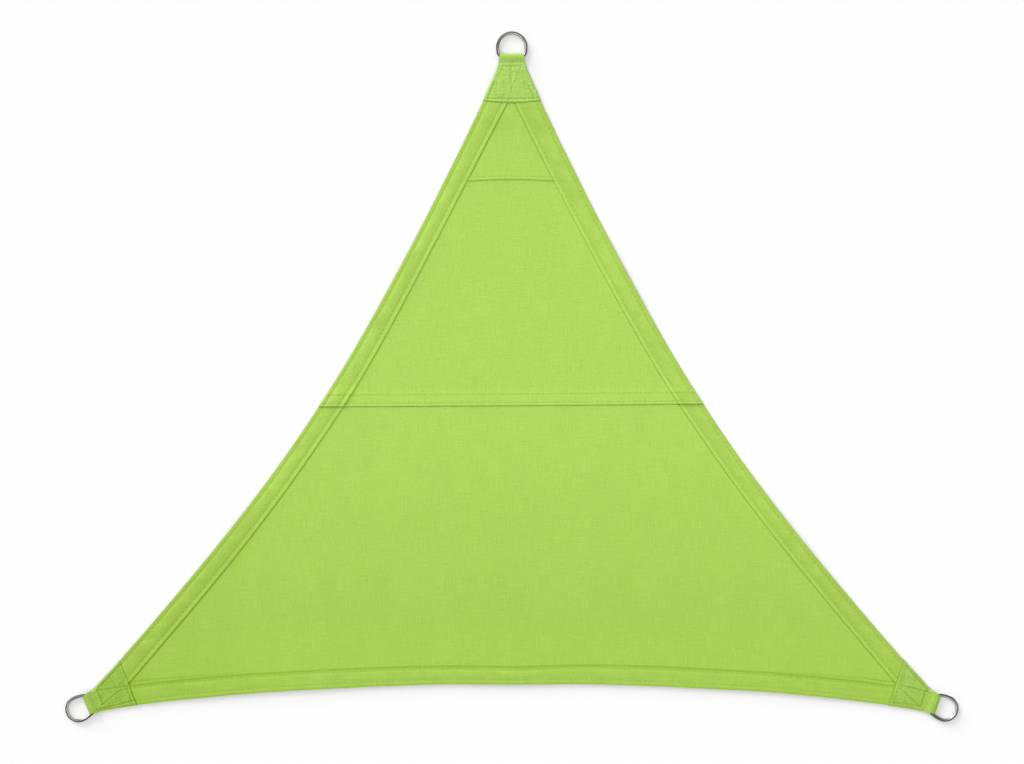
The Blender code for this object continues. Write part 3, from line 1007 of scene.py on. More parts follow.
@dataclass(frozen=True)
class SewingThread(Finish):
    """Twisted polyester sewing thread."""

    name: str = "lime sewing thread"
    dye: tuple[float, float, float] = (0.372, 0.582, 0.089)
    twist: tuple[float, float, float] = (900.0, 900.0, 900.0)
    tone_low: float = 0.85
    tone_rise: float = 0.3
    roughness: float = 0.6
    bump_strength: float = 0.3
    bump_distance: float = 0.0003

    def dress(self, graph: Graph) -> None:
        """Makes the thread's nodes.

        Args:
            graph: The material's graph.
        """
        place = graph.node("ShaderNodeTexCoord", output="Object")
        twist = graph.noise(place, self.twist)
        graph.surface({
            "Base Color": graph.tinted(self.dye, self.tone_low + self.tone_rise * twist),
            "Roughness": self.roughness,
            "Normal": graph.bump(twist, self.bump_strength, self.bump_distance),
        })


@dataclass(frozen=True)
class PolishedSteel(Finish):
    """Steel wire with painted reflections: a bright band along its inner flank, painted dark
    along its crown and outer flank, and its full brightness underneath.
    """

    name: str = "polished steel"
    tint: tuple[float, float, float] = (0.86, 0.85, 0.83)
    dull: float = 0.18
    inner_glow: float = 0.52
    outer_glow: float = -0.08
    under_glow: float = 0.85
    clouds: tuple[float, float, float] = (90.0, 90.0, 90.0)
    bands: tuple[float, float, float] = (22.0, 22.0, 22.0)
    marks: tuple[float, float, float] = (1500.0, 1500.0, 1500.0)
    waver: float = 0.3
    inner_start: tuple[float, float] = (-0.85, -0.60)
    inner_end: tuple[float, float] = (-0.20, 0.12)
    inner_breaks: tuple[float, float] = (0.34, 0.60)
    outer_start: tuple[float, float] = (0.15, 0.75)
    under_end: tuple[float, float] = (-0.45, -0.05)
    smoothest: float = 0.34
    rougher: float = 0.12
    bump_strength: float = 0.08
    bump_distance: float = 0.0002

    def dress(self, graph: Graph) -> None:
        """Makes the steel's nodes.

        Args:
            graph: The material's graph.
        """
        place = graph.node("ShaderNodeTexCoord", output="Object")
        clouds = graph.noise(place, self.clouds, 3.0)
        bands = graph.noise(place, self.bands, 1.0)
        marks = graph.noise(place, self.marks)
        # The flank and the reflection bands place painted reflections: a bright band on the inner
        # flank, painted dark along the crown and the outer flank.
        flank = graph.attribute(FLANK) + self.waver * (clouds - 0.5)
        inner = flank.ranged(*self.inner_start, 0.0, self.inner_glow)
        inner = inner * flank.ranged(*self.inner_end, 1.0, 0.0)
        inner = inner * bands.ranged(*self.inner_breaks, 0.0, 1.0)
        outer = flank.ranged(*self.outer_start, 0.0, self.outer_glow)
        # The underside keeps the steel's full brightness.
        under = graph.attribute(UPWARD).ranged(*self.under_end, self.under_glow, 0.0)
        painted_reflection = self.dull * (0.5 + bands) + inner + outer + under
        graph.surface({
            "Base Color": graph.tinted(self.tint, painted_reflection),
            "Metallic": 1.0,
            "Roughness": self.smoothest + self.rougher * clouds,
            "Normal": graph.bump(marks, self.bump_strength, self.bump_distance),
        })


@dataclass(frozen=True)
class PaleFloor(Finish):
    """Matt white studio floor."""

    name: str = "pale studio floor"
    tone: float = 0.90

    def dress(self, graph: Graph) -> None:
        """Makes the floor's nodes."""
        color = (self.tone, self.tone, self.tone, 1.0)
        graph.surface({"Base Color": color, "Roughness": 1.0, "Specular IOR Level": 0.0})


PANEL_CLOTH = WovenCloth("lime sail cloth", (0.410, 0.628, 0.1030))
STRIP_TAPE = WovenCloth(
    "lime corner cloth", (0.403, 0.622, 0.1300), thread_pitch=0.0012, stitch_pitch=0.0078,
    speckle=0.58, grain_per_metre=220.0,
)


# -------------------------------------------------------------------------------- panels


@dataclass
class Rows:
    """The rows of a panel: each one's height over x, lift, painted light and shade, and layer,
    from the foot up.
    """

    heights: list[Line] = field(default_factory=list)
    lifts: list[float] = field(default_factory=list)
    puffs: list[float] = field(default_factory=list)
    tones: list[float] = field(default_factory=list)
    layers: list[Layer] = field(default_factory=list)

    def add(
        self,
        height: Line,
        lift: float = 0.0,
        tone: float = 1.0,
        layer: Layer = Layer.OPEN,
        puff: float = 0.0,
    ) -> None:
        """Adds a row.

        Args:
            height: Its height over x.
            lift: How far its cloth lies above the panel's own layer.
            tone: The painted light and shade on its cloth.
            layer: What part of the cloth it lies in.
            puff: How much it stands up unevenly.
        """
        self.heights.append(height)
        self.lifts.append(lift)
        self.puffs.append(puff)
        self.tones.append(tone)
        self.layers.append(layer)


@dataclass
class SailCloth:
    """One sheet of the sail, which stands for one solid of the part."""

    outline: SailOutline
    lie: GroundLie
    name: ClassVar[str]  # the piece's name
    node: ClassVar[str]  # the solid that it stands for
    slot: ClassVar[str] = "lime_cloth"
    thickness: ClassVar[float] = CLOTH
    finish: ClassVar[Finish] = PANEL_CLOTH

    def grid(self) -> Grid:
        """The sheet, folded and sewn."""
        raise NotImplementedError

    def build(self) -> bpy.types.Object:
        """Makes the sheet and puts it in its solid's place.

        Returns:
            The sheet's object.
        """
        made = self.grid().mesh_object(self.name, self.thickness, self.finish)
        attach(made, BODY)
        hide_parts(self.node)
        return made


@dataclass
class SailPanel(SailCloth):
    """One of the sail's two large cloths, with the hems at its edges."""

    columns: int = 60
    cut_corners: bool = False
    rounds: int = 30
    first_reach: float = 0.5
    least_reach: float = 0.0003
    corner_draw: float = 0.35
    right_tone: float = 0.995
    narrow_puff: float = 0.6
    blotch_share: float = 0.8
    # Strengths, at the line heights, of the painted shade line beside each side hem's inner lip.
    left_line: tuple[float, ...] = (0.90, 0.68, 0.48)
    right_line: tuple[float, ...] = (0.80, 0.76, 0.50)
    line_heights: tuple[float, ...] = (-0.50, 0.0, 0.40)

    def rows(self) -> Rows:
        """The panel's rows."""
        raise NotImplementedError

    def side_reach(self, row: Line, side: Side) -> Array:
        """Where a row crosses each of a side hem's stations.

        Args:
            row: The row's height over x.
            side: Which side edge.

        Returns:
            Distances from the sail's middle.
        """
        shares = np.array([s.share for s in SIDE_HEM.stations])
        offsets = np.array([s.offset for s in SIDE_HEM.stations])
        reach = np.full(len(shares), self.first_reach)
        for _ in range(self.rounds):
            y = row(side.value * reach)
            width = self.outline.side_hem_width(y, side)
            inward = shares * width + offsets * SIDE_HEM.squeeze(width)
            stretch = self.outline.stretch(y)
            reach = self.outline.half_width(y) - inward * stretch
            limit = self.end_limit(y, side) - self.corner_draw * inward * stretch
            reach = np.minimum(reach, limit)
        return np.maximum(reach, self.least_reach)

    def end_limit(self, y: Array, side: Side) -> Array:
        """How far out a row may reach because of a blunt corner."""
        return np.full_like(y, np.inf)

    def plan(self, rows: Rows) -> tuple[Array, Array, list[HemStation | None], Array]:
        """Places of the panel's rows and columns seen from above.

        Args:
            rows: The panel's rows.

        Returns:
            X and Y of each place, each column's hem station or None, and each column's side.
        """
        stations = list(SIDE_HEM.stations)
        shares = np.linspace(0.0, 1.0, self.columns + 1)[1:-1]
        xs = []
        for height in rows.heights:
            left = -self.side_reach(height, Side.LEFT)
            right = self.side_reach(height, Side.RIGHT)
            inner = mix(left[-1], right[-1], shares)
            xs.append(np.concatenate([left, inner, right[::-1]]))
        x = np.array(xs)
        y = np.array([height(row) for height, row in zip(rows.heights, x)])
        kinds = stations + [None] * len(shares) + stations[::-1]
        signs = np.array([-1] * len(stations) + [0] * len(shares) + [1] * len(stations))
        return x, y, kinds, signs

    def under_height(self, x: Array, y: Array) -> Array:
        """Height of the panel's own middle, without its hems."""
        return self.lie.height(x, y) + CLOTH / 2

    def hem_extra(self, x: Array, y: Array) -> Array:
        """How much further the side hems stand up because of what is tucked in them."""
        return np.zeros_like(x)

    def line_tone(self, y: Array, tone: float, side: Side, layer: Layer) -> Array:
        """The painted light and shade at a station of a side hem, whose painted shade line beside
        the inner lip fades up and down.

        Args:
            y: Places up the sail.
            tone: The station's usual tone.
            side: Which edge's hem it is.
            layer: What part of the hem the station lies in.

        Returns:
            The tone at each place.
        """
        if layer in (Layer.TOP, Layer.TUCK, Layer.TURN):
            return np.full_like(y, tone * (self.right_tone if side is Side.RIGHT else 1.0))
        strengths = self.left_line if side is Side.LEFT else self.right_line
        return 1 - (1 - tone) * np.interp(y, self.line_heights, strengths)

    def base_row(self, x: Array, y: Array) -> tuple[Array, Array]:
        """Distance from the nearest sewn row that runs across the sail, and along it."""
        return np.full_like(x, FAR), x

    def grid(self) -> Grid:
        """The panel's cloth, folded and sewn.

        Returns:
            Its places, with what its finish needs to know.
        """
        rows = self.rows()
        x, y, kinds, signs = self.plan(rows)
        z = self.under_height(x, y)
        puffed = BROAD_PUFF.at(x, y) + self.narrow_puff * NARROW_PUFF.at(x, y)
        row_puff = np.array(rows.puffs)[:, None]
        z = z + np.array(rows.lifts)[:, None] + row_puff * puffed
        shade = np.tile(np.array(rows.tones)[:, None], (1, x.shape[1]))
        # The noise that lifts the puffs, with random blotches, sets the painted light and shade
        # on them.
        puff_and_blotch = puffed + self.blotch_share * HEM_BLOTCH.at(x, y)
        shade *= puff_shade_and_blotches(row_puff, puff_and_blotch)
        u, v = x.copy(), y.copy()
        gap, along = self.base_row(x, y)
        extra = self.hem_extra(x, y)
        length = self.outline.side_length(y)
        lean = np.polyval(np.polyder(self.outline.side_curve), y)
        half = len(SIDE_HEM.stations)
        for column, station in enumerate(kinds):
            if station is None:
                continue
            side = Side.LEFT if signs[column] < 0 else Side.RIGHT
            tone = SIDE_HEM.tones[column if column < half else len(kinds) - 1 - column]
            here = y[:, column]
            inward = self.outline.from_side(x[:, column], here, side)
            raised = station.lift + (extra[:, column] if station.lift else 0.0)
            z[:, column] += raised + station.puff * puffed[:, column]
            shade[:, column] *= self.line_tone(here, tone, side, station.layer)
            shade[:, column] *= puff_shade_and_blotches(station.puff, puff_and_blotch[:, column])
            if station.layer in (Layer.TOP, Layer.TUCK):
                stretch = self.outline.stretch(here)
                u[:, column] += side.value * 2 * inward / stretch
                v[:, column] -= 2 * inward * lean[:, column] / stretch
            side_gap = SIDE_HEM.row_gap(inward, self.outline.side_hem_width(here, side))
            nearer = side_gap < gap[:, column]
            gap[:, column] = np.where(nearer, side_gap, gap[:, column])
            along[:, column] = np.where(nearer, length[:, column], along[:, column])
        away = np.zeros_like(x, bool)
        folded = [layer not in (Layer.OPEN, Layer.UNDER) for layer in rows.layers]
        beside = [station is not None and station.layer is not Layer.OPEN for station in kinds]
        away[np.ix_(folded, beside)] = self.cut_corners
        return Grid(x, y, z, u, v, shade, gap, along, away)


@dataclass
class LowerPanel(SailPanel):
    """The lower cloth, from the base hem to its raw edge under the lap."""

    name: ClassVar[str] = "lower_panel_cloth"
    node: ClassVar[str] = "sail_panel_lower"
    columns: int = 96
    open_rows: int = 100
    below_seam: float = 0.0065
    # Height above the seam and painted shade of each row beside it: the painted shadow of the
    # upper panel's lapped edge.
    lapped_rows: tuple[tuple[float, float], ...] = (
        (-0.0044, 1.0), (-0.0034, 0.95), (-0.0023, 0.87), (-0.0010, 0.85), (0.0, 0.85),
        (0.001, 0.86), (0.0035, 1.0), (0.012, 1.0), (0.0250, 1.0),
    )
    crease_start: float = 0.56
    crease_run: float = 0.27
    crease_rise: float = 0.0066
    crease_width: float = 0.0014
    crease_darkness: float = 0.24
    cut_corners: bool = True

    def end_limit(self, y: Array, side: Side) -> Array:
        """How far out a row may reach before the corner's blunt cut."""
        return self.lie.cut_reach(y, LEFT if side is Side.LEFT else RIGHT)

    def rows(self) -> Rows:
        """Rows from the base hem's tucked-in end, round the edge and up to the lap.

        Returns:
            The rows.
        """
        rows = Rows()
        outline = self.outline
        for station, tone in zip(BASE_HEM.stations, BASE_HEM.tones):
            def at_hem(x: Array, s: HemStation = station) -> Array:
                """Height of a line along the base hem."""
                return outline.base(x) + s.share * outline.base_hem_width(x) + s.offset
            rows.add(at_hem, station.lift, tone, station.layer, station.puff)
        lead = BASE_HEM.stations[-1].offset
        for share in np.linspace(0.0, 1.0, self.open_rows)[1:]:
            def between(x: Array, s: float = float(share)) -> Array:
                """Height of a line between the base hem and the seam."""
                foot = outline.base(x) + outline.base_hem_width(x) + lead
                return mix(foot, outline.seam(x) - self.below_seam, s)
            rows.add(between)
        for offset, tone in (*self.lapped_rows, (outline.lap, 1.0)):
            def lapped(x: Array, s: float = offset) -> Array:
                """Height of a line beside the seam or under the lap."""
                return outline.seam(x) + s
            rows.add(lapped, tone=tone)
        return rows

    def grid(self) -> Grid:
        """The lower cloth, with a painted shade line where a crease runs out of the base hem at
        each corner.

        Returns:
            The panel's places, with painted shade along the creases.
        """
        made = super().grid()
        # A painted shade line only; the crease is not shaped.
        spread = np.clip((np.abs(made.x) - self.crease_start) / self.crease_run, 0.0, 1.0)
        lip = self.outline.base(made.x) + self.outline.base_hem_width(made.x)
        over = made.y - lip - self.crease_rise * spread
        line = np.exp(-((over / self.crease_width) ** 2)) * spread
        made.shade *= 1 - self.crease_darkness * line
        return made

    def base_row(self, x: Array, y: Array) -> tuple[Array, Array]:
        """Distance from the base hem's nearer sewn row, and the distance along it.

        Args:
            x: Places across the sail.
            y: Places up the sail.

        Returns:
            Both distances.
        """
        inward = y - self.outline.base(x)
        gap = BASE_HEM.row_gap(inward, self.outline.base_hem_width(x))
        return gap, x.copy()


@dataclass
class UpperPanel(SailPanel):
    """The upper cloth, from the lap to the apex."""

    name: ClassVar[str] = "upper_panel_cloth"
    node: ClassVar[str] = "sail_panel_upper"
    columns: int = 52
    row_step: float = 0.0058
    # Offset from the seam, height in layers and painted light and shade of each row of the lapped
    # edge: painted shade along its lip, painted highlights on its rounded top.
    lap_rows: tuple[tuple[float, float, float], ...] = (
        (0.0050, 1.0, 0.80), (0.0006, 1.0, 0.80), (-0.00023, 1.15, 0.80), (-0.00033, 1.5, 0.90),
        (-0.00023, 1.85, 0.98), (0.0003, 2.03, 1.04), (0.0014, 2.25, 1.06), (0.0028, 2.25, 1.04),
        (0.0044, 2.1, 1.0), (0.0060, 2.0, 0.985), (0.0078, 1.9, 1.0), (0.0110, 1.6, 1.01),
        (0.0160, 1.45, 1.015), (0.0208, 1.35, 1.02), (0.0232, 1.2, 1.01), (0.0250, 1.08, 0.995),
        (0.0268, 1.15, 1.01), (0.0288, 1.1, 1.01), (0.0305, 0.9, 1.0), (0.0335, 0.5, 1.0),
        (0.0380, 0.15, 1.0), (0.0440, 0.0, 1.0), (0.0500, 0.0, 1.0),
    )
    level_out: float = 0.30
    hem_settle: tuple[float, float] = (0.0270, 0.0500)
    on_hem: float = 0.97
    beside_hem: float = 0.007
    patch_climb: float = 0.006

    def rows(self) -> Rows:
        """Rows from the tucked-in end at the seam up to the apex.

        Returns:
            The rows.
        """
        rows = Rows()
        outline = self.outline
        for offset, layers, tone in self.lap_rows:
            def lapped(x: Array, s: float = offset) -> Array:
                """Height of a line along the seam."""
                return outline.seam(x) + s
            rows.add(lapped, layers * LAYER, tone)
        foot = float(outline.seam(np.array(0.0))) + self.lap_rows[-1][0]
        top = TOP.y - self.lie.corner_cut
        count = round((top - foot) / self.row_step)
        for level in np.linspace(foot, top, count + 1)[1:]:
            def level_row(x: Array, s: float = float(level)) -> Array:
                """Height of a line that lies level further up."""
                tilt = 1 - smooth((s - foot) / self.level_out)
                return s + (outline.seam(x) - outline.seam(np.zeros_like(x))) * tilt
            rows.add(level_row)
        return rows

    def under_height(self, x: Array, y: Array) -> Array:
        """Height of the panel's own middle, where it climbs over the lower panel's hems.

        Args:
            x: Places across the sail.
            y: Places up the sail.

        Returns:
            The height at each place.
        """
        over = y - self.outline.seam(x)
        low, high = self.hem_settle
        settle = 1 - smooth((over - low) / (high - low))
        climb = np.zeros_like(x)
        for side in Side:
            inward = self.outline.from_side(x, y, side)
            width = self.outline.side_hem_width(y, side)
            height = SIDE_HEM.lift(np.minimum(inward, width * self.on_hem), width)
            past = smooth((inward - width) / self.beside_hem)
            climb = np.maximum(climb, height * (1 - past))
        return self.lie.height(x, y) + CLOTH / 2 + climb * settle

    def hem_extra(self, x: Array, y: Array) -> Array:
        """How much the patch's edge, tucked under the hems, lifts them."""
        return LAYER * smooth((y - self.outline.patch_edge(x)) / self.patch_climb)

    def base_row(self, x: Array, y: Array) -> tuple[Array, Array]:
        """Distance from the seam's nearer sewn row, and the distance along it."""
        return self.outline.seam_gap(x, y), x.copy()


@dataclass
class ApexPatch(SailCloth):
    """The reinforcement cloth below the apex, its sides under the hems."""

    name: ClassVar[str] = "apex_patch_cloth"
    node: ClassVar[str] = "apex_patch"
    columns: int = 60
    open_rows: int = 30
    open_layers: float = 1.05
    tucked_layers: float = 1.02
    tucked_share: float = 0.08
    rounds: int = 24
    least_half: float = 0.004
    tuck: float = 0.0035
    # Painted shade on the patch beside each hem's lip, by distance past the hem.
    beside_spots: tuple[float, ...] = (0.0, 0.0009, 0.0021, 0.0033, 0.0050)
    beside_tones: tuple[float, ...] = (0.76, 0.76, 0.78, 0.88, 1.0)
    # Offset, height in layers and painted light and shade of each row at the patch's lower edge:
    # painted shade along its lip.
    edge_rows: tuple[tuple[float, float, float], ...] = (
        (0.0050, 1.0, 0.84), (0.0006, 1.0, 0.83), (-0.00023, 1.15, 0.83), (-0.00033, 1.5, 0.88),
        (-0.00023, 1.85, 0.89), (0.0003, 2.03, 0.89), (0.0012, 2.2, 0.94), (0.0023, 2.25, 1.0),
        (0.0038, 2.2, 1.01), (0.0054, 2.05, 0.985), (0.0070, 1.9, 0.955), (0.0088, 1.6, 0.98),
        (0.0120, 1.25, 1.0), (0.0170, 1.1, 1.0),
    )

    def grid(self) -> Grid:
        """The patch's cloth.

        Returns:
            Its places, with what its finish needs to know.
        """
        across = np.sin(np.linspace(-math.pi / 2, math.pi / 2, self.columns + 1))
        levels = [(offset, layers * LAYER, tone) for offset, layers, tone in self.edge_rows]
        foot = self.edge_rows[-1][0]
        reach = self.outline.patch_tip - self.outline.patch_middle
        opened = np.linspace(foot, reach, self.open_rows)[1:]
        levels += [(float(offset), self.open_layers * LAYER, 1.0) for offset in opened]
        parts: dict[str, list[Array]] = {"x": [], "y": [], "z": [], "shade": []}
        for offset, lift, tone in levels:
            x = across * self.outline.patch_half
            fade = 1 - offset / reach
            for _ in range(self.rounds):
                y = self.outline.patch_middle + offset
                y = y + (self.outline.patch_edge(x) - self.outline.patch_middle) * fade
                width = np.where(
                    across < 0, self.outline.side_hem_width(y, Side.LEFT),
                    self.outline.side_hem_width(y, Side.RIGHT),
                ) - self.tuck
                half = self.outline.half_width(y) - width * self.outline.stretch(y)
                x = across * np.maximum(half, self.least_half)
            parts["x"].append(x)
            parts["y"].append(y)
            edge = 1 - smooth((1 - np.abs(across)) / self.tucked_share)
            above = mix(lift, LAYER * self.tucked_layers, edge)
            parts["z"].append(self.lie.height(x, y) + CLOTH / 2 + above)
            parts["shade"].append(tone * self.beside_hems(x, y))
        x, y, z, shade = (np.array(parts[key]) for key in ("x", "y", "z", "shade"))
        gap = np.abs(y - self.outline.patch_edge(x) - self.outline.patch_row)
        return Grid(x, y, z, x, y, shade, gap, x)

    def beside_hems(self, x: Array, y: Array) -> Array:
        """Painted shade on the patch in the line beside each hem's lip.

        Args:
            x: Places across the sail.
            y: Places up the sail.

        Returns:
            The painted shade at each place.
        """
        tone = np.ones_like(x)
        for side in Side:
            beyond = self.outline.from_side(x, y, side) - self.outline.side_hem_width(y, side)
            tone = tone * np.interp(beyond, self.beside_spots, self.beside_tones)
        return tone


# ------------------------------------------------------------------------------- corners


@dataclass(frozen=True)
class SewnLine:
    """A sewn line or crease on a corner strip, between two places of the sail, with painted shade
    in its dent.
    """

    start: tuple[float, float]
    end: tuple[float, float]
    sewn: bool = True
    depth: float = 0.0004
    darkness: float = 0.20

    @property
    def length(self) -> float:
        """Length of the line."""
        return math.dist(self.start, self.end)

    def measure(self, x: Array, y: Array) -> tuple[Array, Array]:
        """Where places lie beside the line.

        Args:
            x: Places across the sail.
            y: Places up the sail.

        Returns:
            The distance from the line, and the distance along it.
        """
        dx, dy = self.end[0] - self.start[0], self.end[1] - self.start[1]
        along = ((x - self.start[0]) * dx + (y - self.start[1]) * dy) / self.length
        near = np.clip(along, 0.0, self.length) / self.length
        gap = np.hypot(x - self.start[0] - near * dx, y - self.start[1] - near * dy)
        return gap, along


@dataclass
class CornerStrip(SailCloth):
    """A strip of cloth folded round a ring's bar and sewn through the sail's corner."""

    slot: ClassVar[str] = "lime_tape"
    thickness: ClassVar[float] = STRIP_CLOTH
    finish: ClassVar[Finish] = STRIP_TAPE
    place: CornerPlace
    lines: tuple[SewnLine, ...]
    fold_radius: float = 0.0046
    bar_cover: float = 0.0012
    settle: float = 0.022
    margin: float = 0.0006
    widest: float = 0.15
    halvings: int = 26
    cut_lead: float = 0.002
    cut_blend: float = 0.004
    softenings: int = 3
    clearance: float = 0.00015
    near_end: tuple[float, ...] = (1.0, 0.991, 0.981, 0.972, 0.963, 0.954)
    even_from: float = 0.945
    along_steps: int = 66
    across_steps: int = 60
    fold_steps: int = 10
    fold_ends: tuple[float, float] = (0.020, 0.032)
    end_spots: tuple[float, ...] = (0.0, 0.0019, 0.0030, 0.0055, 0.0072, 0.0088, 0.0108)
    end_tones: tuple[float, ...] = (0.74, 0.76, 1.06, 1.08, 0.90, 0.88, 1.0)
    end_blend: float = 1.2
    end_drop: float = 0.0004
    end_round: float = 0.0016
    rim_share: float = 0.05
    rim_drop: float = 0.0005
    rim_darkness: float = 0.05
    pucker: float = 0.00022
    pucker_tone: float = 0.06
    narrow_pucker: float = 0.6
    dent_width: float = 0.0019
    dent_share: float = 0.6
    ridge_place: float = 0.0042
    ridge_width: float = 0.0020
    ridge_height: float = 0.0003
    ridge_tone: float = 0.03

    @property
    def name(self) -> str:
        """The piece's name."""
        return f"corner_strip_{self.place.name}"

    @property
    def node(self) -> str:
        """The solid that the strip stands for."""
        return f"corner_cap_{self.place.name}"

    def reach(self, behind: Array, side: int) -> Array:
        """How far the strip reaches from its middle line.

        Args:
            behind: Distances behind the strip's zero.
            side: 1 for its left, -1 for its right.

        Returns:
            The reach at each distance.
        """
        spots = [station[0] for station in self.place.reaches]
        column = 1 if side > 0 else 2
        widths = [station[column] for station in self.place.reaches]
        reach = np.interp(behind, spots, widths)
        near, far = np.zeros_like(reach), np.full_like(reach, self.widest)
        for _ in range(self.halvings):
            middle = (near + far) / 2
            inside = self.on_sail(*self.place.point(-behind, side * middle))
            near, far = np.where(inside, middle, near), np.where(inside, far, middle)
        on_sail = self.on_sail(*self.place.point(-behind, 0.0))
        return np.where(on_sail, np.maximum(reach, near + self.margin), reach)

    def on_sail(self, x: Array, y: Array) -> Array:
        """Whether places lie within the sail's edges."""
        return (np.abs(x) <= self.outline.half_width(y)) & (y >= self.outline.base(x))

    def sail_top(self, x: Array, y: Array) -> Array:
        """Height of the sail's upper face below the strip.

        Args:
            x: Places across the sail.
            y: Places up the sail.

        Returns:
            The height at each place.
        """
        top = np.zeros_like(x)
        for side in Side:
            inward = self.outline.from_side(x, y, side)
            width = self.outline.side_hem_width(y, side)
            top = np.maximum(top, SIDE_HEM.lift(inward, width))
        if self.place is TOP:
            top = np.maximum(top, LAYER) + LAYER
        else:
            inward = y - self.outline.base(x)
            top = np.maximum(top, BASE_HEM.lift(inward, self.outline.base_hem_width(x)))
        past_cut = self.place.behind(x, y) - self.lie.corner_cut + self.cut_lead
        return self.lie.height(x, y) + CLOTH + top * smooth(past_cut / self.cut_blend)

    def grid(self) -> Grid:
        """The strip, from its end on the sail round the bar to its end underneath.

        Returns:
            Its places, with what its finish needs to know.
        """
        place = self.place
        slack = -place.reaches[0][0] - self.fold_radius - self.bar_cover / 2
        across = np.linspace(-1.0, 1.0, self.across_steps + 1)
        further = np.linspace(self.even_from, 0.0, self.along_steps + 1)
        shares = np.concatenate([self.near_end, further])
        turns = math.pi * (1 - np.arange(1, self.fold_steps) / self.fold_steps)
        share = np.concatenate([shares, np.zeros(len(turns)), shares[::-1]])
        turn = np.concatenate([np.full(len(shares), math.pi), turns, np.zeros(len(shares))])
        fold = np.concatenate([np.zeros(len(shares)), np.ones(len(turns)), np.zeros(len(shares))])
        length = place.strip_length + place.strip_bow * (1 - across**2)
        start = slack + place.flare * np.abs(across) ** 3
        out = mix(start[None, :], -length[None, :], share[:, None])
        out = out + self.fold_radius * (np.sin(turn) * fold)[:, None]
        left, right = self.reach(-out, 1), self.reach(-out, -1)
        aside = across[None, :] * np.where(across[None, :] > 0, left, right)
        x, y = place.point(out, aside)
        bend = self.bar_cover / 2 + self.fold_radius * (1 - np.cos(turn))
        z = np.repeat(bend[:, None], len(across), axis=1)
        upper = slice(0, len(shares))
        top = self.soft_top(x[upper], y[upper])
        ease = smooth((-out[upper] - place.bar_behind) / self.settle)
        z[upper] = mix(z[upper], top + STRIP_CLOTH / 2 + self.clearance, ease)
        below = slice(len(shares) + len(turns), None)
        z[below] = STRIP_CLOTH / 2 + self.lie.swell(x[below], y[below])
        sewn = smooth((-out - self.fold_ends[0]) / (self.fold_ends[1] - self.fold_ends[0]))
        # Painted light on the fold beside the ring.
        shade = place.tone * mix(place.fold_tone, 1.0, sewn)
        gap = np.full_like(z, FAR)
        along = np.zeros_like(z)
        made = Grid(x, y, z, aside, out, shade, gap, along)
        self.mark(made, upper)
        # The strip's rim dips and carries painted shade along its edges.
        rim = 1 - smooth((1 - np.abs(across)) / self.rim_share)
        z[upper] -= self.rim_drop * rim[None, :] * ease
        shade[upper] *= 1 - self.rim_darkness * rim[None, :]
        # The strip's end is rounded down and carries a painted highlight and a painted shadow,
        # standing in for the shadow it throws on the sail.
        from_end = (1 - share[upper]) * place.strip_length
        z[upper] -= self.end_drop * (1 - smooth(from_end / self.end_round))[:, None]
        end_shading = np.interp(from_end, self.end_spots, self.end_tones)[:, None]
        strength = mix(*place.end_strength, smooth(0.5 + self.end_blend * across))
        shade[upper] *= 1 + (end_shading - 1) * strength[None, :]
        return made

    def soft_top(self, x: Array, y: Array) -> Array:
        """The sail's upper face, as a cloth laid over it would follow it.

        Args:
            x: Places across the sail.
            y: Places up the sail.

        Returns:
            The height at each place.
        """
        top = self.sail_top(x, y)
        soft = top.copy()
        for _ in range(self.softenings):
            soft[1:-1, :] = (soft[:-2, :] + 2 * soft[1:-1, :] + soft[2:, :]) / 4
            soft[:, 1:-1] = (soft[:, :-2] + 2 * soft[:, 1:-1] + soft[:, 2:]) / 4
            soft = np.maximum(soft, top)
        return soft

    def mark(self, made: Grid, upper: slice) -> None:
        """Presses the sewn lines and creases into the strip's upper layer, with painted shade in
        their dents and painted highlights on the ridges beside them, and paints light and shade
        on its puckers.

        Args:
            made: The strip's places, which are changed.
            upper: The rows of its upper layer.
        """
        x, y = made.x[upper], made.y[upper]
        pucker = BROAD_PUCKER.at(x, y) + self.narrow_pucker * NARROW_PUCKER.at(x, y)
        made.z[upper] += self.pucker * (1 + np.clip(pucker, -1, 1))
        # Painted light and shade on the puckers, following the noise that raises them.
        made.shade[upper] *= 1 + self.pucker_tone * pucker
        for line in self.lines:
            gap, along = line.measure(x, y)
            dent = np.exp(-((gap / self.dent_width) ** 2))
            ridge = np.exp(-(((gap - self.ridge_place) / self.ridge_width) ** 2))
            made.z[upper] += self.ridge_height * ridge - line.depth * dent * self.dent_share
            # Painted shade in the dent and a painted highlight on the ridge.
            made.shade[upper] *= 1 - line.darkness * dent + self.ridge_tone * ridge
            if line.sewn:
                nearer = gap < made.row_gap[upper]
                made.row_gap[upper] = np.where(nearer, gap, made.row_gap[upper])
                made.row_along[upper] = np.where(nearer, along, made.row_along[upper])


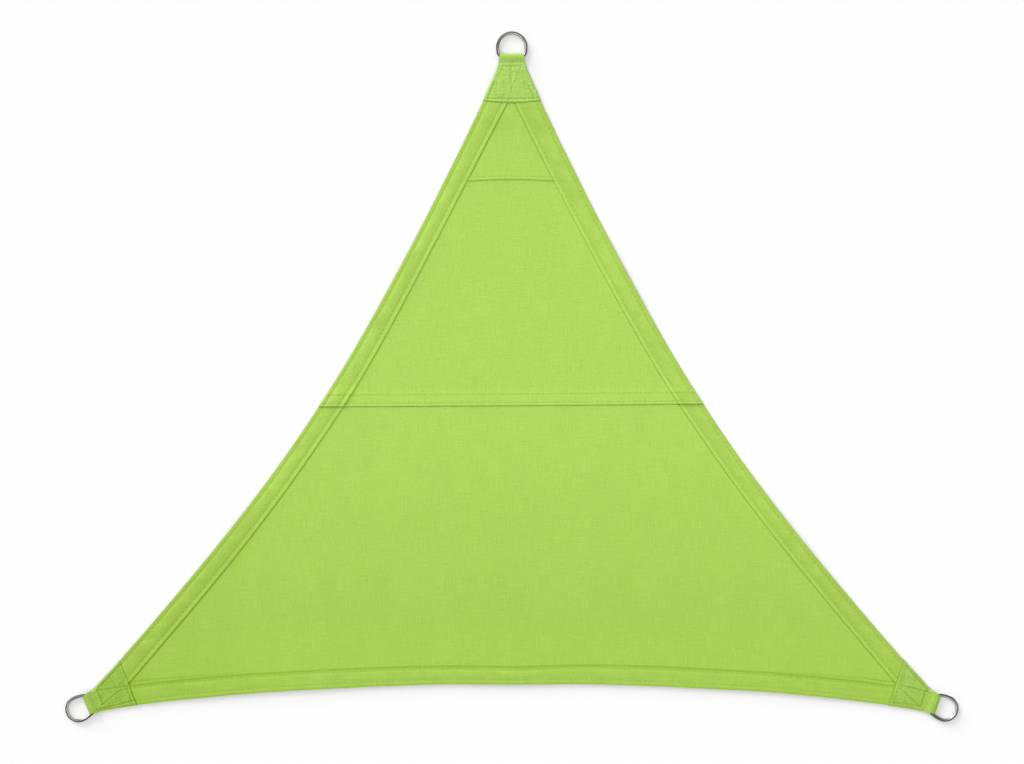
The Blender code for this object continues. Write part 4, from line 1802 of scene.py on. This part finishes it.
@dataclass
class DRing:
    """A welded D-ring of steel wire, its bar in the strip's fold."""

    place: CornerPlace
    wire_radius: float = 0.0035
    bar_height: float = 0.0050
    leg_radius: float = 0.0715
    sides: int = 24
    arc_steps: int = 72
    leg_steps: int = 6
    bend_steps: int = 14
    bar_steps: int = 8
    weld: float = 0.00002

    @property
    def name(self) -> str:
        """The piece's name."""
        return f"steel_ring_{self.place.name}"

    def turns(self) -> list[tuple[float, float, float, int]]:
        """The wire's bends in order from the bar's end.

        Returns:
            Each bend's centre X and Y, its angle and its steps.
        """
        radius = self.place.ring_width / 2 - self.wire_radius
        bend = self.place.ring_bend
        shoulder = self.place.ring_height - radius
        lean = math.asin((shoulder - bend) / (self.leg_radius - bend))
        bar_end = radius - self.leg_radius + (self.leg_radius - bend) * math.cos(lean)
        leg = radius - self.leg_radius
        corner = math.pi / 2 - lean
        return [
            (bend, bar_end, corner, self.bend_steps),
            (shoulder, leg, lean, self.leg_steps),
            (shoulder, 0.0, math.pi, self.arc_steps),
            (shoulder, -leg, lean, self.leg_steps),
            (bend, -bar_end, corner, self.bend_steps),
        ]

    def build(self) -> bpy.types.Object:
        """Bends the ring from its wire and lays it at its corner.

        Returns:
            The ring's object.
        """
        bm = bmesh.new()
        turns = self.turns()
        bar_end = turns[0][1]
        upright = Matrix.Translation((0.0, bar_end, 0.0)) @ Matrix.Rotation(math.pi / 2, 4, "X")
        bmesh.ops.create_circle(
            bm, segments=self.sides, radius=self.wire_radius, cap_ends=False, matrix=upright
        )
        geometry = bm.verts[:] + bm.edges[:]
        for x, y, angle, steps in turns:
            swept = bmesh.ops.spin(
                bm, geom=geometry, cent=(x, y, 0.0), axis=(0.0, 0.0, 1.0), dvec=(0.0, 0.0, 0.0),
                angle=-angle, steps=steps, use_merge=False, use_duplicate=False,
            )
            geometry = swept["geom_last"]
        for _ in range(self.bar_steps):
            edges = [part for part in geometry if isinstance(part, bmesh.types.BMEdge)]
            grown = bmesh.ops.extrude_edge_only(bm, edges=edges)["geom"]
            step = (0.0, 2 * bar_end / self.bar_steps, 0.0)
            verts = [part for part in grown if isinstance(part, bmesh.types.BMVert)]
            bmesh.ops.translate(bm, verts=verts, vec=step)
            geometry = [part for part in grown if not isinstance(part, bmesh.types.BMFace)]
        bmesh.ops.remove_doubles(bm, verts=bm.verts[:], dist=self.weld)
        bmesh.ops.recalc_face_normals(bm, faces=bm.faces[:])
        bm.normal_update()
        # Which way each vertex faces, for the steel's painted reflections.
        flank, upward = (bm.verts.layers.float.new(name) for name in (FLANK, UPWARD))
        middle = Vector((turns[2][0], 0.0, 0.0))
        for vert in bm.verts:
            vert[flank] = vert.normal.dot((vert.co - middle).normalized())
            vert[upward] = vert.normal.z
        lean = math.asin((self.bar_height - self.wire_radius) / self.place.ring_height)
        x, y = self.place.point(-self.place.bar_behind, self.place.bar_across)
        spot = Matrix.Translation((x, y, self.bar_height))
        turn = Matrix.Rotation(math.radians(self.place.ring_angle), 4, "Z")
        bm.transform(spot @ turn @ Matrix.Rotation(lean, 4, "Y"))
        made = finished_object(self.name, bm, PolishedSteel())
        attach(made, BODY)
        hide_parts(f"d_ring_{self.place.name}")
        return made


# ------------------------------------------------------------------------------ stitching


@dataclass
class StitchRows:
    """Rows of machine stitches on the finished cloths."""

    name: str
    cloths: list[bpy.types.Object]
    stitch: float = 0.0078
    thread: float = 0.0010
    pitch: float = 0.0124
    sunk: float = 0.00058
    above: float = 0.05
    paths: list[tuple[Array, Array, float]] = field(default_factory=list)

    def add(self, x: Array, y: Array, first: float = 0.0) -> None:
        """Adds a row along the places x and y, its first needle hole at a length of first."""
        self.paths.append((np.asarray(x), np.asarray(y), first))

    def build(self) -> bpy.types.Object:
        """Makes every stitch of the rows, laid on the highest cloth below it.

        Returns:
            The stitches as one object.
        """
        graph = bpy.context.evaluated_depsgraph_get()
        graph.update()
        trees = [BVHTree.FromObject(cloth, graph) for cloth in self.cloths]
        bm = bmesh.new()
        for x, y, first in self.paths:
            length = np.concatenate([[0.0], np.cumsum(np.hypot(np.diff(x), np.diff(y)))])
            middle = first + self.pitch / 2
            while middle + self.stitch / 2 < length[-1]:
                if middle > self.stitch / 2:
                    self.lay(bm, trees, (x, y, length), middle)
                middle += self.pitch
        made = finished_object(self.name, bm, SewingThread())
        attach(made, BODY)
        return made

    def lay(
        self, bm: bmesh.types.BMesh, trees: list[BVHTree], path: tuple[Array, Array, Array],
        middle: float,
    ) -> None:
        """Lays one stitch of a row.

        Args:
            bm: The mesh that it is added to.
            trees: The cloths it may lie on.
            path: X and Y of the row's places, and the length to each.
            middle: The length to the stitch's middle.
        """
        x, y, length = path
        ends = []
        for spot in (middle - self.stitch / 2, middle + self.stitch / 2):
            at = (np.interp(spot, length, x), np.interp(spot, length, y), self.above)
            place = Vector(at)
            hits = [tree.ray_cast(place, Vector((0, 0, -1)))[0] for tree in trees]
            found = [hit.z for hit in hits if hit is not None]
            if not found:
                return
            ends.append(Vector((place.x, place.y, max(found))))
        run = ends[1] - ends[0]
        spot = (ends[0] + ends[1]) / 2 + Vector((0, 0, self.thread / 2 - self.sunk))
        turn = run.to_track_quat("X", "Z").to_matrix().to_4x4()
        size = Matrix.Diagonal((run.length / 2, self.thread / 2, self.thread / 2, 1.0))
        bmesh.ops.create_uvsphere(
            bm, u_segments=6, v_segments=4, radius=1.0,
            matrix=Matrix.Translation(spot) @ turn @ size @ Matrix.Rotation(math.pi / 2, 4, "Y"),
        )


# --------------------------------------------------------------------------------- studio


@dataclass
class Studio:
    """The pale floor, the soft light from the top of the picture, and the camera above."""

    width_seen: float = 2.3622
    middle_seen: tuple[float, float] = (0.0005, -0.0130)
    camera_height: float = 8.0
    sensor: float = 36.0
    floor_half: float = 12.0
    floor_drop: float = 0.0002
    sun_strength: float = 3.0
    sun_angle: float = 36.0
    sun_elevation: float = 15.0
    sun_left: float = 40.0
    sky_low: float = 0.1425
    sky_high: float = 1.098
    sky_span: tuple[float, float] = (0.10, 0.85)

    def build(self) -> None:
        """Sets up the whole studio."""
        self.build_floor()
        self.build_light()
        self.build_camera()
        bpy.context.scene.view_settings.view_transform = "Standard"

    def build_floor(self) -> None:
        """Lays the floor just under the sail."""
        bm = bmesh.new()
        bmesh.ops.create_grid(bm, x_segments=4, y_segments=4, size=self.floor_half)
        bmesh.ops.translate(bm, verts=bm.verts[:], vec=(0.0, 0.0, -self.floor_drop))
        floor = finished_object("studio_floor", bm, PaleFloor())

    def build_light(self) -> None:
        """Hangs the wide light and the sky that fills the shadows."""
        lamp = bpy.data.lights.new("wide_soft_light", "SUN")
        lamp.energy = self.sun_strength
        lamp.angle = math.radians(self.sun_angle)
        light = bpy.data.objects.new("wide_soft_light", lamp)
        bpy.context.scene.collection.objects.link(light)
        up, left = math.radians(self.sun_elevation), math.radians(self.sun_left)
        toward = Vector((-math.cos(up) * math.sin(left), math.cos(up) * math.cos(left),
                         math.sin(up)))
        light.rotation_mode = "QUATERNION"
        light.rotation_quaternion = toward.to_track_quat("Z", "Y")
        world = bpy.data.worlds.new("studio_sky")
        world.use_nodes = True
        bpy.context.scene.world = world
        graph = Graph(world.node_tree)
        direction = graph.node("ShaderNodeTexCoord", output="Generated")
        node = graph.node("ShaderNodeSeparateXYZ", {}, {0: direction}).socket.node
        height = Value(graph, node.outputs[2])
        glow = height.ranged(*self.sky_span, self.sky_low, self.sky_high)
        back = graph.node("ShaderNodeBackground", {}, {"Color": (1, 1, 1, 1), "Strength": glow})
        graph.node("ShaderNodeOutputWorld", {}, {"Surface": back})

    def build_camera(self) -> None:
        """Puts the camera straight above the sail."""
        lens = bpy.data.cameras.new("camera_above")
        lens.sensor_width = self.sensor
        lens.lens = self.sensor * self.camera_height / self.width_seen
        lens.clip_end = 100.0
        camera = bpy.data.objects.new("camera_above", lens)
        camera.location = (*self.middle_seen, self.camera_height)
        bpy.context.scene.collection.objects.link(camera)
        bpy.context.scene.camera = camera


# ----------------------------------------------------------------------------------- sail


TOP_LINES = (
    SewnLine((-0.0203, 0.7148), (0.0212, 0.7148), darkness=0.05),
    SewnLine((-0.0411, 0.6789), (-0.0549, 0.6443), darkness=0.08),
    SewnLine((-0.0385, 0.6800), (-0.0523, 0.6453), darkness=0.06),
    SewnLine((0.0397, 0.6697), (0.0512, 0.6443), darkness=0.10),
    SewnLine((-0.0549, 0.6403), (0.0558, 0.6403), darkness=0.05),
    SewnLine((0.0208, 0.7122), (0.0005, 0.6628), sewn=False, depth=0.0004, darkness=0.08),
)
LEFT_LINES = (
    SewnLine((-0.9038, -0.6659), (-0.9569, -0.7235)),
    SewnLine((-0.9541, -0.7268), (-0.9423, -0.7574), darkness=0.26),
    SewnLine((-0.9562, -0.7690), (-0.8708, -0.7472), sewn=False, depth=0.0004),
    SewnLine((-0.9449, -0.7574), (-0.9001, -0.7222), sewn=False, depth=0.0006, darkness=0.18),
    SewnLine((-0.9569, -0.7245), (-0.8858, -0.7139), sewn=False, depth=0.0005, darkness=0.20),
)
RIGHT_LINES = (
    SewnLine((0.9534, -0.7268), (0.9428, -0.7620), darkness=0.24),
    SewnLine((0.8770, -0.7514), (0.9391, -0.7602), sewn=False, depth=0.0004),
    SewnLine((0.8992, -0.7127), (0.9580, -0.7268), sewn=False, depth=0.0005, darkness=0.20),
    SewnLine((0.8969, -0.7199), (0.9416, -0.7620), sewn=False, depth=0.0006, darkness=0.18),
    SewnLine((0.9100, -0.6690), (0.9600, -0.7235)),
)


@dataclass
class ShadeSail:
    """The whole sail."""

    outline: SailOutline = field(default_factory=SailOutline)
    lie: GroundLie = field(default_factory=GroundLie)
    side_sewn: tuple[float, float] = (-0.676, 0.640)
    base_sewn: float = 0.868
    seam_sewn: float = 0.440
    patch_sewn: float = 0.0945

    def build(self) -> list[bpy.types.Object]:
        """Makes every piece of the sail.

        Returns:
            Every piece.
        """
        lower = LowerPanel(self.outline, self.lie).build()
        upper = UpperPanel(self.outline, self.lie).build()
        patch = ApexPatch(self.outline, self.lie).build()
        rings, strips = [], []
        for place, lines in zip(CORNERS, (TOP_LINES, LEFT_LINES, RIGHT_LINES)):
            rings.append(DRing(place).build())
            strips.append(CornerStrip(self.outline, self.lie, place, lines).build())
        hems = self.hem_stitches([lower, upper, patch])
        seam = self.seam_stitches([lower, upper])
        sewn_patch = self.patch_stitches([upper, patch])
        sewn_strips = self.strip_stitches(strips)
        return [lower, upper, patch, *rings, *strips, hems, seam, sewn_patch, sewn_strips]

    def side_path(self, side: Side, from_lip: bool) -> tuple[Array, Array]:
        """A sewn row of a side hem.

        Args:
            side: Which edge's hem it is.
            from_lip: Whether it is the row beside the inner lip.

        Returns:
            X and Y of places along the row.
        """
        y = np.linspace(*self.side_sewn, 300)
        inward = np.full_like(y, SIDE_HEM.outer_row)
        if from_lip:
            inward = self.outline.side_hem_width(y, side) - SIDE_HEM.inner_row
        x = side.value * (self.outline.half_width(y) - inward * self.outline.stretch(y))
        return x, y

    def hem_stitches(self, cloths: list[bpy.types.Object]) -> bpy.types.Object:
        """Sews the hems.

        Args:
            cloths: The cloths that the stitches lie on.

        Returns:
            The stitches.
        """
        rows = StitchRows("hem_stitches", cloths)
        for side in Side:
            for from_lip in (True, False):
                x, y = self.side_path(side, from_lip)
                start = float(self.outline.side_length(y[0]))
                rows.add(x, y, -(start % rows.pitch))
        x = np.linspace(-self.base_sewn, self.base_sewn, 400)
        for inward in (BASE_HEM.outer_row, self.outline.base_hem_width(x) - BASE_HEM.inner_row):
            rows.add(x, self.outline.base(x) + inward, -(x[0] % rows.pitch))
        return rows.build()

    def seam_stitches(self, cloths: list[bpy.types.Object]) -> bpy.types.Object:
        """Sews the cross seam.

        Args:
            cloths: The cloths that the stitches lie on.

        Returns:
            The stitches.
        """
        rows = StitchRows("seam_stitches", cloths)
        x = np.linspace(-self.seam_sewn, self.seam_sewn, 200)
        for over in self.outline.seam_rows:
            rows.add(x, self.outline.seam(x) + over, -(x[0] % rows.pitch))
        return rows.build()

    def patch_stitches(self, cloths: list[bpy.types.Object]) -> bpy.types.Object:
        """Sews the patch's lower edge.

        Args:
            cloths: The cloths that the stitches lie on.

        Returns:
            The stitches.
        """
        rows = StitchRows("patch_stitches", cloths)
        x = np.linspace(-self.patch_sewn, self.patch_sewn, 60)
        edge = self.outline.patch_edge(x)
        rows.add(x, edge + self.outline.patch_row, -(x[0] % rows.pitch))
        return rows.build()

    def strip_stitches(self, cloths: list[bpy.types.Object]) -> bpy.types.Object:
        """Sews the corner strips.

        Args:
            cloths: The cloths that the stitches lie on.

        Returns:
            The stitches.
        """
        rows = StitchRows("corner_strip_stitches", cloths, stitch=0.0050, pitch=0.0078)
        for line in TOP_LINES + LEFT_LINES + RIGHT_LINES:
            if line.sewn:
                x, y = np.array([line.start, line.end]).T
                rows.add(x, y)
        return rows.build()


def main() -> None:
    """Dresses the sail and the studio, and logs each piece's faces."""
    logging.basicConfig(level=logging.INFO, format="%(message)s")
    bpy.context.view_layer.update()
    pieces = ShadeSail().build()
    for piece in pieces:
        LOG.info("%s: %d faces", piece.name, len(piece.data.polygons))
    Studio().build()


if __name__ == "__main__":
    main()
